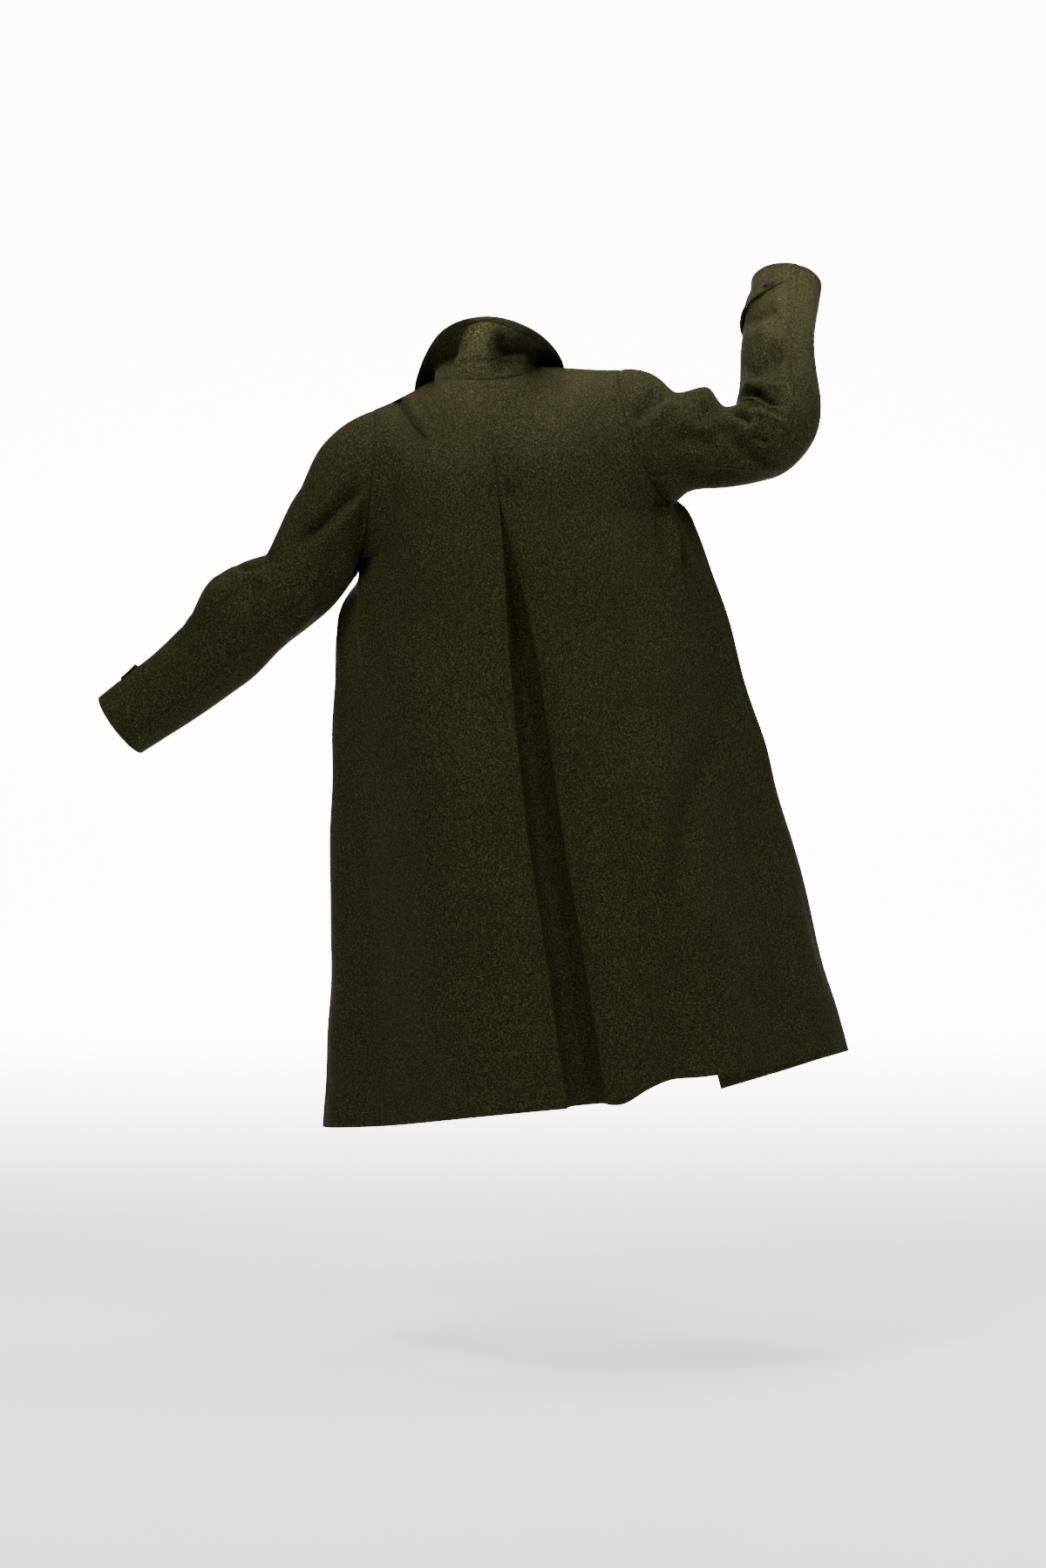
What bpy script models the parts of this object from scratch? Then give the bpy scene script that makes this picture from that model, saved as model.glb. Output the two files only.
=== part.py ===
"""A long A-line wool coat, worn open, with one arm stretched down and the other raised.

Frame: origin at the middle of the neck base, +X to the wearer's right, +Y the way the wearer faces,
+Z up, metres. Every cloth piece is a grid laid on a surface worked out from the tables below and then
given the thickness of the cloth.
"""
import math

import bmesh
import bpy
import numpy as np
from mathutils import Matrix, Vector

# Cloth and seams
WALL = 0.002
SIDE_SEAM = 0.0012
CENTRE_SEAM = 0.0026
SHOULDER_SEAM = 0.0013
ARMHOLE_INSET = 0.0010
SLEEVE_SEAM = 0.0012
LAID_ON = 0.0004
UNDERLAY_CLEAR = 0.0006
SHOULDER_ROW = 0.12
SMALL_STEP = 1e-3
PATH_STEP = 0.05

# Grid sizes
PANEL_COLUMNS = 11
PANEL_ROWS = 24
RETURN_COLUMNS = 3
FOLD_STEPS = 3
SLEEVE_ROWS = 23
SLEEVE_COLUMNS = 8
COLLAR_COLUMNS = 39
STAND_ROWS = 3
FALL_ROWS = 6
TAB_COLUMNS = 13
TAB_ROWS = 5
UNDERLAY_BRIDGE = 4
CHORDS = 9

# The neck seam: back centre, side points at the shoulder seams, front ends
NECK_BACK = (-0.008, -0.075, -0.004)
NECK_SIDE = {"left": (-0.088, 0.0, 0.006), "right": (0.064, 0.0, 0.027)}
NECK_FRONT = {"left": (-0.045, 0.085, -0.085), "right": (0.045, 0.085, -0.062)}
NECK_SHARE = 0.4

# Each armhole is a loop through its shoulder tip, back, armpit and front
ARMHOLE = {
    "left": {
        "tip": (-0.184, 0.0, -0.043),
        "back": (-0.180, -0.070, -0.150),
        "pit": (-0.203, 0.005, -0.268),
        "front": (-0.165, 0.062, -0.155),
    },
    "right": {
        "tip": (0.196, 0.0, 0.020),
        "back": (0.213, -0.070, -0.100),
        "pit": (0.272, 0.0, -0.178),
        "front": (0.235, 0.060, -0.070),
    },
}
PIT_STATION = 2

# The centre back line, down the left edge of the pleat
CENTRE = (
    # station, x, y, z
    ("shoulder", -0.008, -0.075, -0.004),
    ("across", 0.004, -0.115, -0.120),
    ("armpit", 0.0165, -0.138, -0.250),
    ("ribs", 0.0225, -0.151, -0.350),
    ("waist", 0.030, -0.163, -0.460),
    ("hip", 0.052, -0.187, -0.675),
    ("thigh", 0.083, -0.208, -0.885),
    ("hem", 0.111, -0.222, -1.084),
)

# Body sections from the shoulder to the hem. Above the armpit the armhole loop takes the side seam's place.
BACK = {
    "left": (
        # station, middle x, y, z, side seam x, y, z
        ("shoulder", -0.088, 0.000, 0.006, -0.184, 0.000, -0.043),
        ("across", -0.085, -0.112, -0.125, -0.180, -0.070, -0.150),
        ("armpit", -0.100, -0.132, -0.260, -0.203, 0.005, -0.268),
        ("ribs", -0.099, -0.142, -0.360, -0.206, -0.030, -0.360),
        ("waist", -0.095, -0.152, -0.465, -0.199, -0.045, -0.460),
        ("hip", -0.075, -0.178, -0.685, -0.189, -0.052, -0.680),
        ("thigh", -0.052, -0.195, -0.905, -0.174, -0.060, -0.900),
        ("hem", -0.027, -0.205, -1.099, -0.166, -0.070, -1.128),
    ),
    "right": (
        ("shoulder", 0.064, 0.000, 0.027, 0.196, 0.000, 0.020),
        ("across", 0.100, -0.112, -0.085, 0.213, -0.070, -0.100),
        ("armpit", 0.150, -0.132, -0.225, 0.272, 0.000, -0.178),
        ("ribs", 0.170, -0.147, -0.328, 0.297, -0.033, -0.288),
        ("waist", 0.190, -0.160, -0.440, 0.322, -0.050, -0.420),
        ("hip", 0.240, -0.188, -0.660, 0.365, -0.065, -0.640),
        ("thigh", 0.275, -0.200, -0.860, 0.405, -0.085, -0.835),
        ("hem", 0.306, -0.190, -1.043, 0.440, -0.100, -1.030),
    ),
}
FRONT = {
    "left": (
        # station, front edge x, y, z, middle x, y, z
        ("shoulder", -0.045, 0.085, -0.085, -0.088, 0.000, 0.006),
        ("across", -0.030, 0.118, -0.190, -0.140, 0.100, -0.140),
        ("armpit", -0.025, 0.135, -0.300, -0.162, 0.102, -0.270),
        ("ribs", -0.027, 0.142, -0.385, -0.219, 0.062, -0.360),
        ("waist", -0.030, 0.150, -0.480, -0.237, 0.050, -0.470),
        ("hip", -0.035, 0.165, -0.690, -0.245, 0.050, -0.690),
        ("thigh", -0.040, 0.180, -0.900, -0.250, 0.050, -0.910),
        ("hem", -0.045, 0.195, -1.120, -0.264, 0.050, -1.141),
    ),
    "right": (
        ("shoulder", 0.045, 0.085, -0.062, 0.064, 0.000, 0.027),
        ("across", 0.060, 0.118, -0.170, 0.160, 0.100, -0.090),
        ("armpit", 0.085, 0.140, -0.290, 0.285, 0.060, -0.205),
        ("ribs", 0.122, 0.153, -0.388, 0.333, 0.049, -0.308),
        ("waist", 0.160, 0.165, -0.490, 0.375, 0.040, -0.430),
        ("hip", 0.235, 0.195, -0.700, 0.448, 0.040, -0.660),
        ("thigh", 0.305, 0.225, -0.905, 0.502, 0.035, -0.855),
        ("hem", 0.367, 0.250, -1.107, 0.552, 0.030, -1.022),
    ),
}
HEM_STATION = len(CENTRE) - 1

# The inverted pleat: each back panel's centre edge turns under, and the underlay joins the two returns
FOLD_RADIUS = 0.003
SEAM_TURNING = 0.010
PLEAT_RETURN = 0.062
PLEAT_TOP_STATION = 1.50
PLEAT_OPENING = 0.062
PLEAT_OPENS_OVER = 3.1
PLEAT_SWING = (1.0, 0.12, 0.20)
UNDERLAY_DIP = 0.010
CENTRE_EASE = 0.3

# Broad folds of the hanging cloth: place across (0 centre, 1 side) at the start and at the hem, the station
# where it starts, its width as a share of the row, how far it stands out and how far the hem drops there
FOLDS = {
    "back_left": (
        # at start, at hem, start station, width, out, drop
        (0.55, 0.62, 3.2, 0.16, 0.006, 0.0),
    ),
    "back_right": (
        (0.11, 0.075, 4.2, 0.10, 0.012, 0.011),
        (0.42, 0.36, 2.8, 0.12, -0.012, -0.004),
        (0.72, 0.70, 2.4, 0.14, 0.010, 0.0),
    ),
    "front_left": (
        (0.30, 0.32, 2.8, 0.12, 0.012, 0.0),
        (0.62, 0.60, 3.2, 0.12, -0.010, 0.0),
    ),
    "front_right": (
        (0.30, 0.28, 2.8, 0.12, 0.012, 0.0),
        (0.60, 0.62, 2.8, 0.13, -0.012, 0.0),
    ),
}

# Sleeve sections from the armhole to the cuff: centre of the ring, half its width in the arm's bending
# plane, half its depth front to back, and the angle of the hind-arm seam from the top of the arm
SLEEVE = {
    "left": (
        # station, x, y, z, half width, half depth, hind seam degrees
        ("armhole", -0.192, 0.000, -0.155, 0.110, 0.066, 125.0),
        ("upper", -0.252, -0.008, -0.228, 0.074, 0.066, 122.0),
        ("above_elbow", -0.2995, -0.004, -0.3035, 0.065, 0.063, 120.0),
        ("elbow", -0.3605, 0.002, -0.3445, 0.072, 0.062, 118.0),
        ("forearm", -0.420, 0.018, -0.404, 0.066, 0.058, 118.0),
        ("lower", -0.497, 0.035, -0.465, 0.060, 0.054, 118.0),
        ("cuff", -0.575, 0.050, -0.522, 0.056, 0.050, 116.0),
    ),
    "right": (
        ("armhole", 0.234, 0.000, -0.079, 0.110, 0.066, 120.0),
        ("upper", 0.285, -0.010, -0.0925, 0.0765, 0.068, 122.0),
        ("above_elbow", 0.360, -0.014, -0.098, 0.060, 0.066, 122.0),
        ("elbow", 0.420, -0.010, -0.076, 0.062, 0.064, 112.0),
        ("bend", 0.437, 0.006, -0.030, 0.062, 0.061, 106.0),
        ("forearm", 0.4435, 0.050, 0.062, 0.055, 0.055, 102.0),
        ("cuff", 0.4565, 0.113, 0.172, 0.054, 0.052, 110.0),
    ),
}
FORE_SEAM_DEGREES = -115.0
# Broad bulges of the bent sleeves: angle and station of the middle, reach in degrees and stations, and how
# far they stand out
SLEEVE_FOLDS = {
    "left": (
        # degrees, station, degrees each way, stations each way, out
        (10.0, 3.35, 55.0, 0.35, 0.006),
    ),
    "right": (
        (5.0, 1.48, 60.0, 0.30, 0.016),
    ),
}
# The sleeves start this far out from the armhole, at the shoulder tip and at the armpit
SLEEVE_START = {"left": (0.0020, 0.0032), "right": (0.0007, 0.0016)}
CROWN_EASE = 1.6
CROWN_HEAD = {"left": 0.016, "right": 0.008}
CUFF_STATION = len(SLEEVE["left"]) - 1

# The collar stands up at the back and rolls out at the sides, so its stand is high at the back and low in
# front. Its rows run from the left front end to the right one.
STAND_LEAN = 0.16
RIDGE_LEAN = 0.58
RIDGE_AT = -0.10
RIDGE_HALF = 0.30
STAND_SEAM = 0.0012
FALL_SEAM = 0.0011
COLLAR_END = 1.96
FALL = (
    # station, edge x, y, z, roll up, roll out, stand height
    ("left_point", -0.078, 0.150, -0.105, 0.024, 0.022, 0.010),
    ("left_front", -0.112, 0.085, -0.040, 0.032, 0.018, 0.010),
    ("left_side", -0.114, 0.012, 0.006, 0.036, 0.014, 0.012),
    ("left_back", -0.0740, -0.103, 0.0612, 0.030, -0.010, 0.022),
    ("back", -0.008, -0.088, 0.0880, 0.026, 0.000, 0.038),
    ("right_back", 0.0622, -0.107, 0.0628, 0.028, -0.010, 0.023),
    ("right_side", 0.104, 0.010, 0.034, 0.034, 0.014, 0.012),
    ("right_front", 0.104, 0.085, -0.012, 0.032, 0.018, 0.010),
    ("right_point", 0.080, 0.150, -0.080, 0.024, 0.022, 0.010),
)

# Cuff tabs: where they start and end round the sleeve, how far up from the cuff, and their size
TAB_HALF_WIDTH = 0.016
TAB_WALL = 0.0024
TAB_POINT_SHARE = 0.22
TAB_TAPER = 0.92
TAB_BUTTON_SHARE = 0.83
TAB = {
    "left": {"from_deg": 14.0, "to_deg": -92.0, "up_from": 0.062, "up_to": 0.046},
    "right": {"from_deg": -55.0, "to_deg": 84.0, "up_from": 0.080, "up_to": 0.040},
}

# Buttons
CUFF_BUTTON_RADIUS = 0.009
FRONT_BUTTON_RADIUS = 0.0125
BUTTON_THICKNESS = 0.0042
BUTTON_BEVEL = 0.0011
BUTTON_SEGMENTS = 20
BUTTON_FROM_EDGE = 0.024
FRONT_BUTTON_SEAT = 0.0007
FRONT_BUTTON_STATIONS = (0.85, 1.65, 2.75, 4.10)

# Finishes: base colour, roughness, metallic
WOOL = ((0.045, 0.047, 0.018), 0.92, 0.0)
HORN = ((0.022, 0.010, 0.006), 0.22, 0.0)


def spline(rows, at):
    """Smooth curve through evenly spaced rows; at runs from 0 to the last row's number."""
    rows = np.asarray(rows, float)
    last = len(rows) - 1
    at = np.clip(np.asarray(at, float), 0.0, last)
    index = np.minimum(at.astype(int), last - 1)
    part = (at - index)[..., None]
    start, end = rows[index], rows[index + 1]
    before = np.where(index[..., None] > 0, rows[np.maximum(index - 1, 0)], 2 * start - end)
    after = np.where(index[..., None] < last - 1, rows[np.minimum(index + 2, last)], 2 * end - start)
    bend = 2 * before - 5 * start + 4 * end - after
    twist = 3 * start - before - 3 * end + after
    return 0.5 * (2 * start + (end - before) * part + bend * part**2 + twist * part**3)


def unit(vectors):
    """Vectors brought to length 1."""
    return vectors / np.maximum(np.linalg.norm(vectors, axis=-1, keepdims=True), 1e-12)


def smooth(value):
    """A soft step from 0 to 1 as the value goes from 0 to 1."""
    value = np.clip(value, 0.0, 1.0)
    return value * value * (3 - 2 * value)


def armhole(side, angle):
    """The armhole loop: 0 at the shoulder tip, a quarter turn at the back, a half turn at the armpit."""
    tip, back, pit, front = (np.array(ARMHOLE[side][key]) for key in ("tip", "back", "pit", "front"))
    middle = (tip + pit) / 2
    across = np.sin(angle)[..., None]
    reach = np.where(across > 0, across * (back - middle), -across * (front - middle))
    return middle + np.cos(angle)[..., None] * (tip - middle) + reach


def neck(around):
    """The neck seam: 0 at the back centre, 1 at a shoulder seam, 2 at a front end; left is negative."""
    around = np.asarray(around, float)[..., None]
    back = np.array(NECK_BACK)
    side = np.where(around < 0, np.array(NECK_SIDE["left"]), np.array(NECK_SIDE["right"]))
    front = np.where(around < 0, np.array(NECK_FRONT["left"]), np.array(NECK_FRONT["right"]))
    turn = np.clip(np.abs(around), 0, 1) * math.pi / 2
    drop = np.clip(np.abs(around) - 1, 0, 1) * math.pi / 2
    behind = back + (side - back) * np.stack(
        [np.sin(turn), 1 - np.cos(turn), 1 - np.cos(turn)], axis=-1).reshape(turn.shape[:-1] + (3,))
    ahead = (front - side) * np.stack(
        [1 - np.cos(drop), np.sin(drop), 1 - np.cos(drop)], axis=-1).reshape(drop.shape[:-1] + (3,))
    return behind + ahead


def top_edge(side, face, across):
    """A panel's top edge: along the neck seam, then along the shoulder seam to the tip."""
    sign = -1.0 if side == "left" else 1.0
    share = np.clip(across / NECK_SHARE, 0, 1)
    around = sign * (share if face == "back" else 2 - share)
    along = np.clip((across - NECK_SHARE) / (1 - NECK_SHARE), 0, 1)[..., None]
    tip = np.array(ARMHOLE[side]["tip"])
    shoulder = np.array(NECK_SIDE[side]) * (1 - along) + tip * along
    return np.where(across[..., None] < NECK_SHARE, neck(around), shoulder)


def side_edge(side, face, station):
    """A panel's outer edge: the armhole's half down to the armpit, then the side seam."""
    table = np.array([row[4:7] for row in BACK[side]])
    turn = math.pi / 2 if face == "back" else -math.pi / 2
    loop = armhole(side, np.minimum(station, PIT_STATION) * turn)
    seam = spline(table[PIT_STATION:], np.maximum(station - PIT_STATION, 0.0))
    return np.where((station < PIT_STATION)[..., None], loop, seam)


def inner_edge(side, face, station):
    """A panel's centre edge: the centre back line, swung open at the pleat on the right, or the front."""
    if face == "front":
        return spline([row[1:4] for row in FRONT[side]], station)
    line = spline([row[1:4] for row in CENTRE], station)
    if side == "left":
        return line
    opening = PLEAT_OPENING * np.tanh(np.maximum(station - PLEAT_TOP_STATION, 0) / PLEAT_OPENS_OVER)
    return line + opening[..., None] * np.array(PLEAT_SWING)


def middle_line(side, face, station):
    """The line down the middle of a panel."""
    rows = [row[1:4] for row in BACK[side]] if face == "back" else [row[4:7] for row in FRONT[side]]
    return spline(rows, station)


def plain_panel(side, face, across, station):
    """A body panel without its folds: each row is a smooth curve from the centre edge to the outer edge."""
    inner = inner_edge(side, face, station)
    middle = middle_line(side, face, station)
    outer = side_edge(side, face, station)
    past = middle_line(side, "front" if face == "back" else "back", station)
    below = smooth(station - PIT_STATION)[..., None]
    beyond = below * past + (1 - below) * (2 * outer - middle)
    first = np.clip(across * 2, 0, 1)[..., None]
    second = np.clip(across * 2 - 1, 0, 1)[..., None]
    slope_in = (4 * middle - 3 * inner - outer) / 2
    slope_mid = (outer - inner) / 2
    slope_out = (beyond - middle) / 2

    def piece(start, end, slope_a, slope_b, part):
        square, cube = part**2, part**3
        return ((2 * cube - 3 * square + 1) * start + (cube - 2 * square + part) * slope_a
                + (3 * square - 2 * cube) * end + (cube - square) * slope_b)

    return np.where(across[..., None] < 0.5, piece(inner, middle, slope_in, slope_mid, first),
                    piece(middle, outer, slope_mid, slope_out, second))


def panel(side, face, across, station):
    """A body panel: its rows, brought to the neck and shoulder seams at the top, with its broad folds."""
    across, station = np.broadcast_arrays(np.asarray(across, float), np.asarray(station, float))
    points = plain_panel(side, face, across, station)
    lift = top_edge(side, face, across) - plain_panel(side, face, across, np.zeros_like(station))
    points = points + lift * (1 - smooth(station))[..., None]
    out = normal(lambda a, s: plain_panel(side, face, a, s), across, station)
    height = np.zeros_like(station)
    lower = np.zeros_like(station)
    for at_start, at_hem, start, width, depth, drop in FOLDS[face + "_" + side]:
        down = np.clip((station - start) / (HEM_STATION - start), 0, 1)
        place = at_start + (at_hem - at_start) * down
        swell = smooth(down) * np.exp(-((across - place) / width) ** 2)
        height = height + depth * swell
        lower = lower + drop * swell
    points = points + out * height[..., None] * outward(side, face)
    return points - lower[..., None] * np.array([0, 0, 1.0])


def outward(side, face):
    """The sign that points a panel's normal away from the wearer."""
    return 1.0 if (side == "left") == (face == "back") else -1.0


def normal(surface, first, second, step=SMALL_STEP):
    """The normal of a surface of two parameters, from small steps along both."""
    along = surface(first + step, second) - surface(first - step, second)
    down = surface(first, second + step) - surface(first, second - step)
    return unit(np.cross(along, down))


def panel_moved(side, face, across, station, distance):
    """Points of a panel moved out by a distance, or in where it is negative."""
    across, station = np.broadcast_arrays(np.asarray(across, float), np.asarray(station, float))
    place = np.clip(across, 2 * SMALL_STEP, 1 - 2 * SMALL_STEP)
    level = np.clip(station, 2 * SMALL_STEP, HEM_STATION - 2 * SMALL_STEP)
    out = normal(lambda a, s: panel(side, face, a, s), place, level) * outward(side, face)
    return panel(side, face, across, station) + out * np.asarray(distance)[..., None]


def row_length(side, face, station):
    """How long a panel's row is, from a few chords."""
    across = np.linspace(0, 1, CHORDS)
    points = panel(side, face, across[None, :], station[:, None])
    return np.linalg.norm(np.diff(points, axis=1), axis=2).sum(axis=1)


def panel_stations():
    """Stations of a panel's rows, with the shoulder seam's gap at the top."""
    return np.linspace(SHOULDER_SEAM / SHOULDER_ROW, HEM_STATION, PANEL_ROWS)


def side_end(side, face, stations):
    """Where each row stops short of the armhole or the side seam."""
    gap = np.where(stations < PIT_STATION, ARMHOLE_INSET, SIDE_SEAM / 2)
    return 1 - gap / row_length(side, face, stations)


def pleat_return(station):
    """How far a back panel's centre edge turns under: a seam turning, then the pleat."""
    down = (station - PLEAT_TOP_STATION) / (HEM_STATION - PLEAT_TOP_STATION)
    return SEAM_TURNING + (PLEAT_RETURN - SEAM_TURNING) * np.clip(down, 0, 1)


def centre_gap(side):
    """The step sideways that keeps the two back panels clear of each other at the centre."""
    return np.array([CENTRE_SEAM / 2 if side == "right" else -CENTRE_SEAM / 2, 0.0, 0.0])


def return_points(side, stations, inset):
    """The turned-under strip of a back panel, from its inner end to the fold."""
    length = row_length(side, "back", stations)
    share = np.linspace(1, 0, RETURN_COLUMNS)[None, :]
    across = (FOLD_RADIUS + pleat_return(stations)[:, None] * share) / length[:, None]
    points = panel_moved(side, "back", across, stations[:, None], np.full(across.shape, -inset))
    return points + centre_gap(side)


def back_points(side):
    """A back panel's rows: return strip, fold, then the panel to its side."""
    stations = panel_stations()
    length = row_length(side, "back", stations)[:, None]
    strip = return_points(side, stations, 2 * FOLD_RADIUS)
    turn = np.linspace(math.pi, 0, FOLD_STEPS + 2)[None, 1:-1]
    across = FOLD_RADIUS * (1 - np.sin(turn)) / length
    depth = -FOLD_RADIUS * (1 - np.cos(turn)) * np.ones_like(length)
    fold = panel_moved(side, "back", across, stations[:, None], depth)
    share = np.linspace(0, 1, PANEL_COLUMNS)[None, :]
    start = FOLD_RADIUS / length
    across = start + (side_end(side, "back", stations)[:, None] - start) * share
    sheet = panel(side, "back", across, stations[:, None])
    near = np.clip(1 - share / CENTRE_EASE, 0, 1)[..., None]
    return np.concatenate([strip, fold + centre_gap(side), sheet + centre_gap(side) * near], axis=1)


def underlay_points():
    """The pleat's underlay: laid on both returns and bridging the opening a little deeper."""
    stations = panel_stations()
    stations = stations[stations > PLEAT_TOP_STATION]
    inset = 2 * FOLD_RADIUS + WALL + UNDERLAY_CLEAR
    left = return_points("left", stations, inset)
    right = return_points("right", stations, inset)[:, ::-1]
    share = np.linspace(0, 1, UNDERLAY_BRIDGE + 2)[None, 1:-1, None]
    bridge = left[:, -1:] * (1 - share) + right[:, :1] * share
    opening = smooth((stations - PLEAT_TOP_STATION) / 2)[:, None]
    bridge[..., 1] += UNDERLAY_DIP * opening * np.sin(math.pi * share[..., 0])
    return np.concatenate([left, bridge, right], axis=1)


def front_points(side):
    """A front panel's rows, from the open front edge to the side."""
    stations = panel_stations()
    share = np.linspace(0, 1, PANEL_COLUMNS)[None, :]
    across = share * side_end(side, "front", stations)[:, None]
    return panel(side, "front", across, stations[:, None])


def sleeve_frame(side, station):
    """A sleeve ring's centre and its two unit directions, up and back, square to the arm's line."""
    path = [row[1:4] for row in SLEEVE[side]]
    centre = spline(path, station)
    along = unit(spline(path, station + PATH_STEP) - spline(path, station - PATH_STEP))
    sign = 1.0 if side == "right" else -1.0
    up = unit(np.stack([-sign * along[..., 2], 0 * along[..., 1], sign * along[..., 0]], axis=-1))
    back = unit(np.cross(along, up)) * sign
    return centre, up, back


def sleeve(side, angle, station):
    """A sleeve: oval rings along the arm's line, eased from the armhole's own loop."""
    angle, station = np.broadcast_arrays(np.asarray(angle, float), np.asarray(station, float))
    centre, up, back = sleeve_frame(side, station)
    sizes = spline([row[4:6] for row in SLEEVE[side]], station)
    ring = centre + up * (sizes[..., :1] * np.cos(angle)[..., None])
    ring = ring + back * (sizes[..., 1:] * np.sin(angle)[..., None])
    start = np.array(SLEEVE[side][0][1:4])
    loop = armhole(side, angle) + (centre - start)
    pit = (1 - np.cos(angle)) / 2
    at_tip, at_pit = SLEEVE_START[side]
    start_gap = at_tip * (1 - pit) + at_pit * pit
    outwards = start_gap[..., None] * np.array([1.0 if side == "right" else -1.0, 0, 0])
    ease = (1 - smooth(station / CROWN_EASE))[..., None]
    head = CROWN_HEAD[side] * np.sin(math.pi * np.clip(station, 0, 1)) * np.maximum(np.cos(angle), 0)
    swell = np.zeros_like(angle)
    for at, level, reach, stretch, out in SLEEVE_FOLDS[side]:
        away = (np.degrees(angle) - at + 180) % 360 - 180
        swell = swell + out * np.exp(-(away / reach) ** 2 - ((station - level) / stretch) ** 2)
    outside = unit(ring - centre)
    return ring * (1 - ease) + (loop + outwards) * ease + up * head[..., None] + outside * swell[..., None]


def sleeve_moved(side, angle, station, distance):
    """Points of a sleeve moved out by a distance."""
    angle, station = np.broadcast_arrays(np.asarray(angle, float), np.asarray(station, float))
    level = np.clip(station, 2 * SMALL_STEP, CUFF_STATION - 2 * SMALL_STEP)
    out = normal(lambda a, s: sleeve(side, a, s), angle, level)
    centre = sleeve_frame(side, level)[0]
    points = sleeve(side, angle, station)
    sign = np.sign(np.sum(out * (points - centre), axis=-1, keepdims=True))
    return points + out * sign * np.asarray(distance)[..., None]


def sleeve_points(side, piece):
    """One piece of a two-piece sleeve, between the hind-arm seam and the front seam."""
    stations = np.linspace(0, CUFF_STATION, SLEEVE_ROWS)
    hind = np.radians(spline([row[6:7] for row in SLEEVE[side]], stations))
    fore = np.full_like(hind, math.radians(FORE_SEAM_DEGREES))
    size = spline([row[5:6] for row in SLEEVE[side]], stations)
    gap = SLEEVE_SEAM / 2 / size
    first, last = (fore + gap, hind - gap) if piece == "top" else (hind + gap, fore + 2 * math.pi - gap)
    share = np.linspace(0, 1, SLEEVE_COLUMNS)[None, :]
    return sleeve(side, first + (last - first) * share, stations[:, None])


def collar_base(around, height):
    """The stand: the neck seam raised square to itself, leaning in, its middle ridge leaning out."""
    around, height = np.broadcast_arrays(np.asarray(around, float), np.asarray(height, float))
    base = neck(around)
    seam = unit(neck(around + PATH_STEP) - neck(around - PATH_STEP))
    rise = unit(np.array([0, 0, 1.0]) - seam * seam[..., 2:])
    lean = unit(np.stack([-base[..., 0], -base[..., 1], 0 * base[..., 2]], axis=-1))
    ridge = np.exp(-(((around - RIDGE_AT) / RIDGE_HALF) ** 4))
    lean = lean * (STAND_LEAN - RIDGE_LEAN * ridge)[..., None]
    return base + (rise + lean) * height[..., None]


def collar_row(around):
    """The collar's table at a place along the neck seam."""
    return spline([row[1:7] for row in FALL], (around + 2) * 2)


def stand_points():
    """The collar stand's rows, from the neck seam up."""
    around = np.linspace(-COLLAR_END, COLLAR_END, COLLAR_COLUMNS)[None, :]
    share = np.linspace(0, 1, STAND_ROWS)[:, None]
    height = STAND_SEAM + (collar_row(around)[..., 5] - STAND_SEAM) * share
    return collar_base(around, height)


def fall(around, share):
    """The collar's fall: a curve from the stand's top, rolled up and out to the outer edge."""
    around, share = np.broadcast_arrays(np.asarray(around, float), np.asarray(share, float))
    row = collar_row(around)
    base = collar_base(around, row[..., 5] + FALL_SEAM)
    edge, roll_up, roll_out = row[..., :3], row[..., 3:4], row[..., 4:5]
    out = unit(base * np.array([1, 1, 0]))
    control = base + roll_up * np.array([0, 0, 1.0]) + roll_out * out
    part = share[..., None]
    return (1 - part) ** 2 * base + 2 * part * (1 - part) * control + part**2 * edge


def fall_points():
    """The collar fall's rows, from the stand to the outer edge."""
    around = np.linspace(-COLLAR_END, COLLAR_END, COLLAR_COLUMNS)[None, :]
    share = np.linspace(0, 1, FALL_ROWS)[:, None]
    return fall(around, share)


def tab_points(side):
    """A cuff tab: a strap on the sleeve's own points, moved out, its end drawn to a point."""
    size = TAB[side]
    along = np.linspace(0, 1, TAB_COLUMNS)[None, :]
    across = np.linspace(-1, 1, TAB_ROWS)[:, None]
    rows = np.array([row[1:4] for row in SLEEVE[side]])
    spacing = np.linalg.norm(rows[-1] - rows[-2])
    taper = 1 - TAB_TAPER * np.clip((along - 1 + TAB_POINT_SHARE) / TAB_POINT_SHARE, 0, 1)
    up = size["up_from"] + (size["up_to"] - size["up_from"]) * along
    station = CUFF_STATION - (up + across * TAB_HALF_WIDTH * taper) / spacing
    angle = np.radians(size["from_deg"] + (size["to_deg"] - size["from_deg"]) * along) + 0 * across
    distance = np.full(station.shape, WALL / 2 + TAB_WALL / 2 + LAID_ON)
    return sleeve_moved(side, angle, station, distance)


def material(name, finish):
    """A Principled material of one finish."""
    colour, roughness, metallic = finish
    made = bpy.data.materials.new(name)
    made.use_nodes = True
    shader = made.node_tree.nodes["Principled BSDF"]
    shader.inputs["Base Color"].default_value = (*colour, 1.0)
    shader.inputs["Roughness"].default_value = roughness
    shader.inputs["Metallic"].default_value = metallic
    return made


def cloth(name, points, wall=WALL):
    """A wall of cloth: a grid moved to the given rows of points and thickened both ways."""
    rows, columns = points.shape[:2]
    form = bmesh.new()
    bmesh.ops.create_grid(form, x_segments=columns - 1, y_segments=rows - 1, size=1.0)
    mesh = bpy.data.meshes.new(name)
    form.to_mesh(mesh)
    form.free()
    mesh.vertices.foreach_set("co", points.reshape(-1).astype(np.float32))
    mesh.update()
    mesh.shade_smooth()
    piece = bpy.data.objects.new(name, mesh)
    thick = piece.modifiers.new("wall", "SOLIDIFY")
    thick.thickness = wall
    thick.offset = 0.0
    thick.use_even_offset = False
    return add(piece, WOOL)


def add(piece, finish):
    """A piece put into the coat's collection with its own material."""
    piece.data.materials.append(material(piece.name, finish))
    bpy.data.collections["long_coat"].objects.link(piece)
    return piece


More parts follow.
